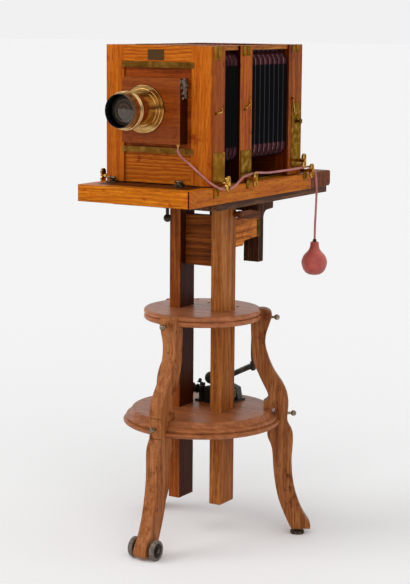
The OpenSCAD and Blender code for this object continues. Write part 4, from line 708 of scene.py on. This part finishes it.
steep_other = add(pleater, "ShaderNodeMath", {"operation": "ABSOLUTE"}, {0: edge_run.outputs[1]})
both_parts = add(pleater, "ShaderNodeMath", {"operation": "ADD"}, {0: steep, 1: steep_other})
top_share = add(pleater, "ShaderNodeMath", {"operation": "DIVIDE"}, {0: steep, 1: both_parts})
phase = add(pleater, "ShaderNodeMath", {"operation": "MULTIPLY", 1: 0.5}, {0: top_share})
beat = add(pleater, "ShaderNodeMath", {"operation": "MULTIPLY_ADD"},
           {0: along_at, 1: give.outputs["Folds"], 2: phase})
swing = add(pleater, "ShaderNodeMath", {"operation": "PINGPONG", 1: 0.5}, {0: beat})
swing = add(pleater, "ShaderNodeMath", {"operation": "MULTIPLY", 1: 2.0}, {0: swing})
inward = add(pleater, "ShaderNodeMath", {"operation": "SUBTRACT", 0: 1.0}, {1: swing})
pull = add(pleater, "ShaderNodeMath", {"operation": "MULTIPLY"}, {0: inward, 1: give.outputs["Depth"]})
# The outline's normal in its own plane is its run turned a quarter.
norm_z = add(pleater, "ShaderNodeMath", {"operation": "MULTIPLY", 1: -1.0}, {0: edge_run})
at_x = add(pleater, "ShaderNodeMath", {"operation": "MULTIPLY_ADD"},
           {0: edge_run.outputs[1], 1: pull, 2: edge_flat})
at_z = add(pleater, "ShaderNodeMath", {"operation": "MULTIPLY_ADD"},
           {0: norm_z, 1: pull, 2: edge_flat.outputs[1]})
at_z = add(pleater, "ShaderNodeMath", {"operation": "ADD"}, {0: at_z, 1: give.outputs["Middle"]})
at_y = add(pleater, "ShaderNodeMix", {}, {0: along_at, 2: give.outputs["Start"], 3: give.outputs["End"]})
target = add(pleater, "ShaderNodeCombineXYZ", {}, {0: at_x, 1: at_y, 2: at_z})
ridge = add(pleater, "GeometryNodeStoreNamedAttribute",
            {"data_type": "FLOAT", "domain": "POINT", "Name": "ridge"},
            {"Geometry": sheet, "Value": swing})
placed = add(pleater, "GeometryNodeSetPosition", {}, {"Geometry": ridge, "Position": target})
joined = add(pleater, "GeometryNodeMergeByDistance", {"Distance": 0.00001}, {"Geometry": placed})
clad = add(pleater, "GeometryNodeSetMaterial", {}, {"Geometry": joined, "Material": give.outputs["Cloth"]})
add(pleater, "NodeGroupOutput", {}, {"Geometry": clad})

leathercloth, tree, shader = surface("black leathercloth with red corners",
                                     {"Specular IOR Level": 0.06, "IOR": 1.48})
place = add(tree, "ShaderNodeAttribute", {"attribute_name": "rest_place"})
ridge_at = add(tree, "ShaderNodeAttribute", {"attribute_name": "ridge"})
axes = add(tree, "ShaderNodeSeparateXYZ", {}, {0: place.outputs["Vector"]})
# The red leather reaches from the corners a little way along the top and bottom.
bellows_middle = 1.3475
high = add(tree, "ShaderNodeMath", {"operation": "SUBTRACT", 1: bellows_middle}, {0: axes.outputs[2]})
high = add(tree, "ShaderNodeMath", {"operation": "ABSOLUTE"}, {0: high})
high = add(tree, "ShaderNodeMapRange", {1: 0.117, 2: 0.121}, {0: high})
wide = add(tree, "ShaderNodeMath", {"operation": "ABSOLUTE"}, {0: axes})
wide = add(tree, "ShaderNodeMapRange", {1: 0.116, 2: 0.120}, {0: wide})
red_part = add(tree, "ShaderNodeMath", {"operation": "MULTIPLY"}, {0: high, 1: wide})
wear = add(tree, "ShaderNodeTexNoise", {"Scale": 60, "Detail": 5}, {"Vector": place.outputs["Vector"]})
black = add(tree, "ShaderNodeValToRGB", {"stops": [(0.3, "040304"), (0.7, "0a080a")]}, {"Fac": wear})
red = add(tree, "ShaderNodeValToRGB", {"stops": [(0.3, "401c21"), (0.7, "6d373e")]}, {"Fac": wear})
hide = add(tree, "ShaderNodeMix", {"data_type": "RGBA"}, {0: red_part, 6: black, 7: red})
# Painted shade darkens the valleys towards nearly black.
painted_valley_shade = add(tree, "ShaderNodeMapRange", {1: 0.1, 2: 0.85, 3: 1.0, 4: 0.0}, {0: ridge_at.outputs["Fac"]})
hide = add(tree, "ShaderNodeMix", {"data_type": "RGBA", 7: linear("070506")},
           {0: painted_valley_shade, 6: hide.outputs[2]})
# Every ridge has a paler line about 3 mm wide: partly rubbed wear, partly a painted highlight.
rubbed = add(tree, "ShaderNodeMapRange", {1: 0.74, 2: 0.97, 4: 0.85}, {0: ridge_at.outputs["Fac"]})
pale = add(tree, "ShaderNodeMix", {"data_type": "RGBA", 6: linear("62626c"), 7: linear("c09498")},
           {0: red_part})
skin = add(tree, "ShaderNodeMix", {"data_type": "RGBA"},
           {0: rubbed, 6: hide.outputs[2], 7: pale.outputs[2]})
gloss = add(tree, "ShaderNodeMapRange", {3: 0.42, 4: 0.62}, {0: wear})
pebble = add(tree, "ShaderNodeTexVoronoi", {"Scale": 700}, {"Vector": place.outputs["Vector"]})
bump = add(tree, "ShaderNodeBump", {"Strength": 0.3, "Distance": 0.0004},
           {"Height": pebble.outputs["Distance"]})
feed(shader, {"Base Color": skin.outputs[2], "Roughness": gloss, "Normal": bump})


def pleated(name, first, last, folds):
    """One bellows between two frames."""
    maker = put(name, bpy.data.meshes.new(name))
    shaper = maker.modifiers.new("pleats", "NODES")
    shaper.node_group = pleater
    # Width and height are those of the valleys, and the ridges stand a depth outside them.
    for part, value in (("Width", 0.334), ("Height", 0.304), ("Corner", 0.019), ("Depth", 0.0095),
                        ("Folds", float(folds)), ("Start", first), ("End", last),
                        ("Middle", bellows_middle), ("Cloth", leathercloth)):
        shaper[sizes[part]] = value
    thick = maker.modifiers.new("cloth", "SOLIDIFY")
    thick.thickness = 0.0009
    thick.offset = -1
    piece = plain_mesh(maker, name)
    piece.data.shade_smooth()
    piece.data.set_sharp_from_angle(angle=math.radians(28))
    # Each point keeps its place at rest, so the colours stay on the cloth when it bends.
    rest_place = piece.data.attributes.new("rest_place", "FLOAT_VECTOR", "POINT")
    for spot, vertex in zip(rest_place.data, piece.data.vertices):
        spot.vector = vertex.co
    return piece


front_bellows = pleated("front_bellows", -0.2088, -0.1222, 4)
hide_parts("bellows_front")
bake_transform(front_bellows)
# The rear sleeve is two pieces that meet at its second fold: a head of the first two folds, and the six folds
# behind them, which ride the table's body.
# On the camera the head opens and closes with the middle frame, and the six close up with the rear frame;
# closed, those six keep 61.2 mm of their 171.2, since the rear frame comes 110 mm forward.
rear_start, rear_split, rear_end = -0.0518, 0.0053, 0.1765
rear_head = pleated("rear_bellows_head", rear_start, rear_split, 2)
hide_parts("bellows_rear")
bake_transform(rear_head)
rear_bellows = pleated("rear_bellows", rear_split, rear_end, 6)
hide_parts("bellows_rear")
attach(rear_bellows, "table")
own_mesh(rear_bellows)


# Screws: turned brass wood screws with slotted heads, countersunk in the plates and strips.
# One tree of nodes sets a head at each point, square to its face and turned by a fixed seed.
driver = bpy.data.node_groups.new("slotted screw heads", "GeometryNodeTree")
driver.interface.new_socket("Geometry", in_out="INPUT", socket_type="NodeSocketGeometry")
head_radius = driver.interface.new_socket("Radius", in_out="INPUT", socket_type="NodeSocketFloat").identifier
head_rise = driver.interface.new_socket("Rise", in_out="INPUT", socket_type="NodeSocketFloat").identifier
head_finish = driver.interface.new_socket("Finish", in_out="INPUT",
                                          socket_type="NodeSocketMaterial").identifier
driver.interface.new_socket("Geometry", in_out="OUTPUT", socket_type="NodeSocketGeometry")
give = add(driver, "NodeGroupInput")
domed = add(driver, "GeometryNodeMeshUVSphere", {"Segments": 20, "Rings": 12},
            {"Radius": give.outputs["Radius"]})
flat_share = add(driver, "ShaderNodeMath", {"operation": "DIVIDE"},
                 {0: give.outputs["Rise"], 1: give.outputs["Radius"]})
flat_size = add(driver, "ShaderNodeCombineXYZ", {0: 1.0, 1: 1.0}, {2: flat_share})
low_dome = add(driver, "GeometryNodeTransform", {}, {"Geometry": domed, "Scale": flat_size})
slot_long = add(driver, "ShaderNodeMath", {"operation": "MULTIPLY", 1: 2.4}, {0: give.outputs["Radius"]})
slot_wide = add(driver, "ShaderNodeMath", {"operation": "MULTIPLY", 1: 0.26}, {0: give.outputs["Radius"]})
slot_size = add(driver, "ShaderNodeCombineXYZ", {}, {0: slot_long, 1: slot_wide, 2: give.outputs["Rise"]})
slot_up = add(driver, "ShaderNodeCombineXYZ", {}, {2: give.outputs["Rise"]})
slot_block = add(driver, "GeometryNodeMeshCube", {}, {"Size": slot_size})
slot_block = add(driver, "GeometryNodeTransform", {}, {"Geometry": slot_block, "Translation": slot_up})
head = add(driver, "GeometryNodeMeshBoolean", {"operation": "DIFFERENCE"},
           {"Mesh 1": low_dome, "Mesh 2": slot_block})
facing = add(driver, "GeometryNodeInputNamedAttribute", {"data_type": "FLOAT_VECTOR", "Name": "facing"})
square_on = add(driver, "FunctionNodeAlignRotationToVector", {"axis": "Z"}, {"Vector": facing})
heads = add(driver, "GeometryNodeInstanceOnPoints", {},
            {"Points": give.outputs["Geometry"], "Instance": head, "Rotation": square_on})
spin = add(driver, "FunctionNodeRandomValue", {"data_type": "FLOAT", 2: 0.0, 3: 3.1416, "Seed": 7})
spin_turn = add(driver, "ShaderNodeCombineXYZ", {}, {2: spin.outputs[1]})
spun = add(driver, "GeometryNodeRotateInstances", {}, {"Instances": heads, "Rotation": spin_turn})
real = add(driver, "GeometryNodeRealizeInstances", {}, {"Geometry": spun})
clad = add(driver, "GeometryNodeSetMaterial", {}, {"Geometry": real, "Material": give.outputs["Finish"]})
add(driver, "NodeGroupOutput", {}, {"Geometry": clad})


def screws(name, places, radius, rise, finish, body):
    """Screw heads at points with facings, all on one body."""
    data = bpy.data.meshes.new(name)
    data.from_pydata([p for p, _ in places], [], [])
    facings = data.attributes.new("facing", "FLOAT_VECTOR", "POINT")
    for item, (_, way) in zip(facings.data, places):
        item.vector = way
    maker = put(name, data)
    setter = maker.modifiers.new("heads", "NODES")
    setter.node_group = driver
    setter[head_radius], setter[head_rise], setter[head_finish] = radius, rise, finish
    piece = plain_mesh(maker, name)
    piece.data.shade_smooth()
    piece.data.set_sharp_from_angle(angle=math.radians(40))
    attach(piece, body)


right, left, forward = (1, 0, 0), (-1, 0, 0), (0, -1, 0)
plate_x, panel_y, head_size, head_height = 0.1845, -0.2855, 0.0026, 0.0007


def on_both_sides(*grids):
    """Places on the right and then the left plates: each grid is its depths and its heights."""
    return [((way[0] * plate_x, y, z), way) for way in (right, left)
            for depths, heights in grids for y in depths for z in heights]


front_places = [((x, panel_y, z), forward) for x in (-0.118, -0.06, 0.06, 0.118) for z in (1.2215, 1.4685)]
front_places += [((x, panel_y, 1.497), forward) for x in (-0.0285, 0.0175)]
front_places += on_both_sides(((-0.266, -0.217), (1.138, 1.176, 1.213)), ((-0.2635, -0.2415), (1.491, 1.517)))
middle_places = on_both_sides(((-0.111, -0.060), (1.150, 1.180, 1.211)), ((-0.0995, -0.0755), (1.499, 1.519)))
rear_places = on_both_sides(((0.201, 0.249), (1.156, 1.230, 1.338)), ((0.2015, 0.2295), (1.506, 1.519)))
for end, body, places in (("front", "table", front_places), ("middle", "middle", middle_places),
                          ("rear", "rear", rear_places)):
    screws(end + "_plate_screws", places, head_size, head_height, bright, body)
flange_places = [((lens_axis[0] + 0.0655 * math.cos(a), -0.326, lens_axis[2] + 0.0655 * math.sin(a)), forward)
                 for a in [math.radians(30 + 60 * k) for k in range(6)]]
screws("flange_screws", flange_places, 0.0024, head_height, bright, "table")
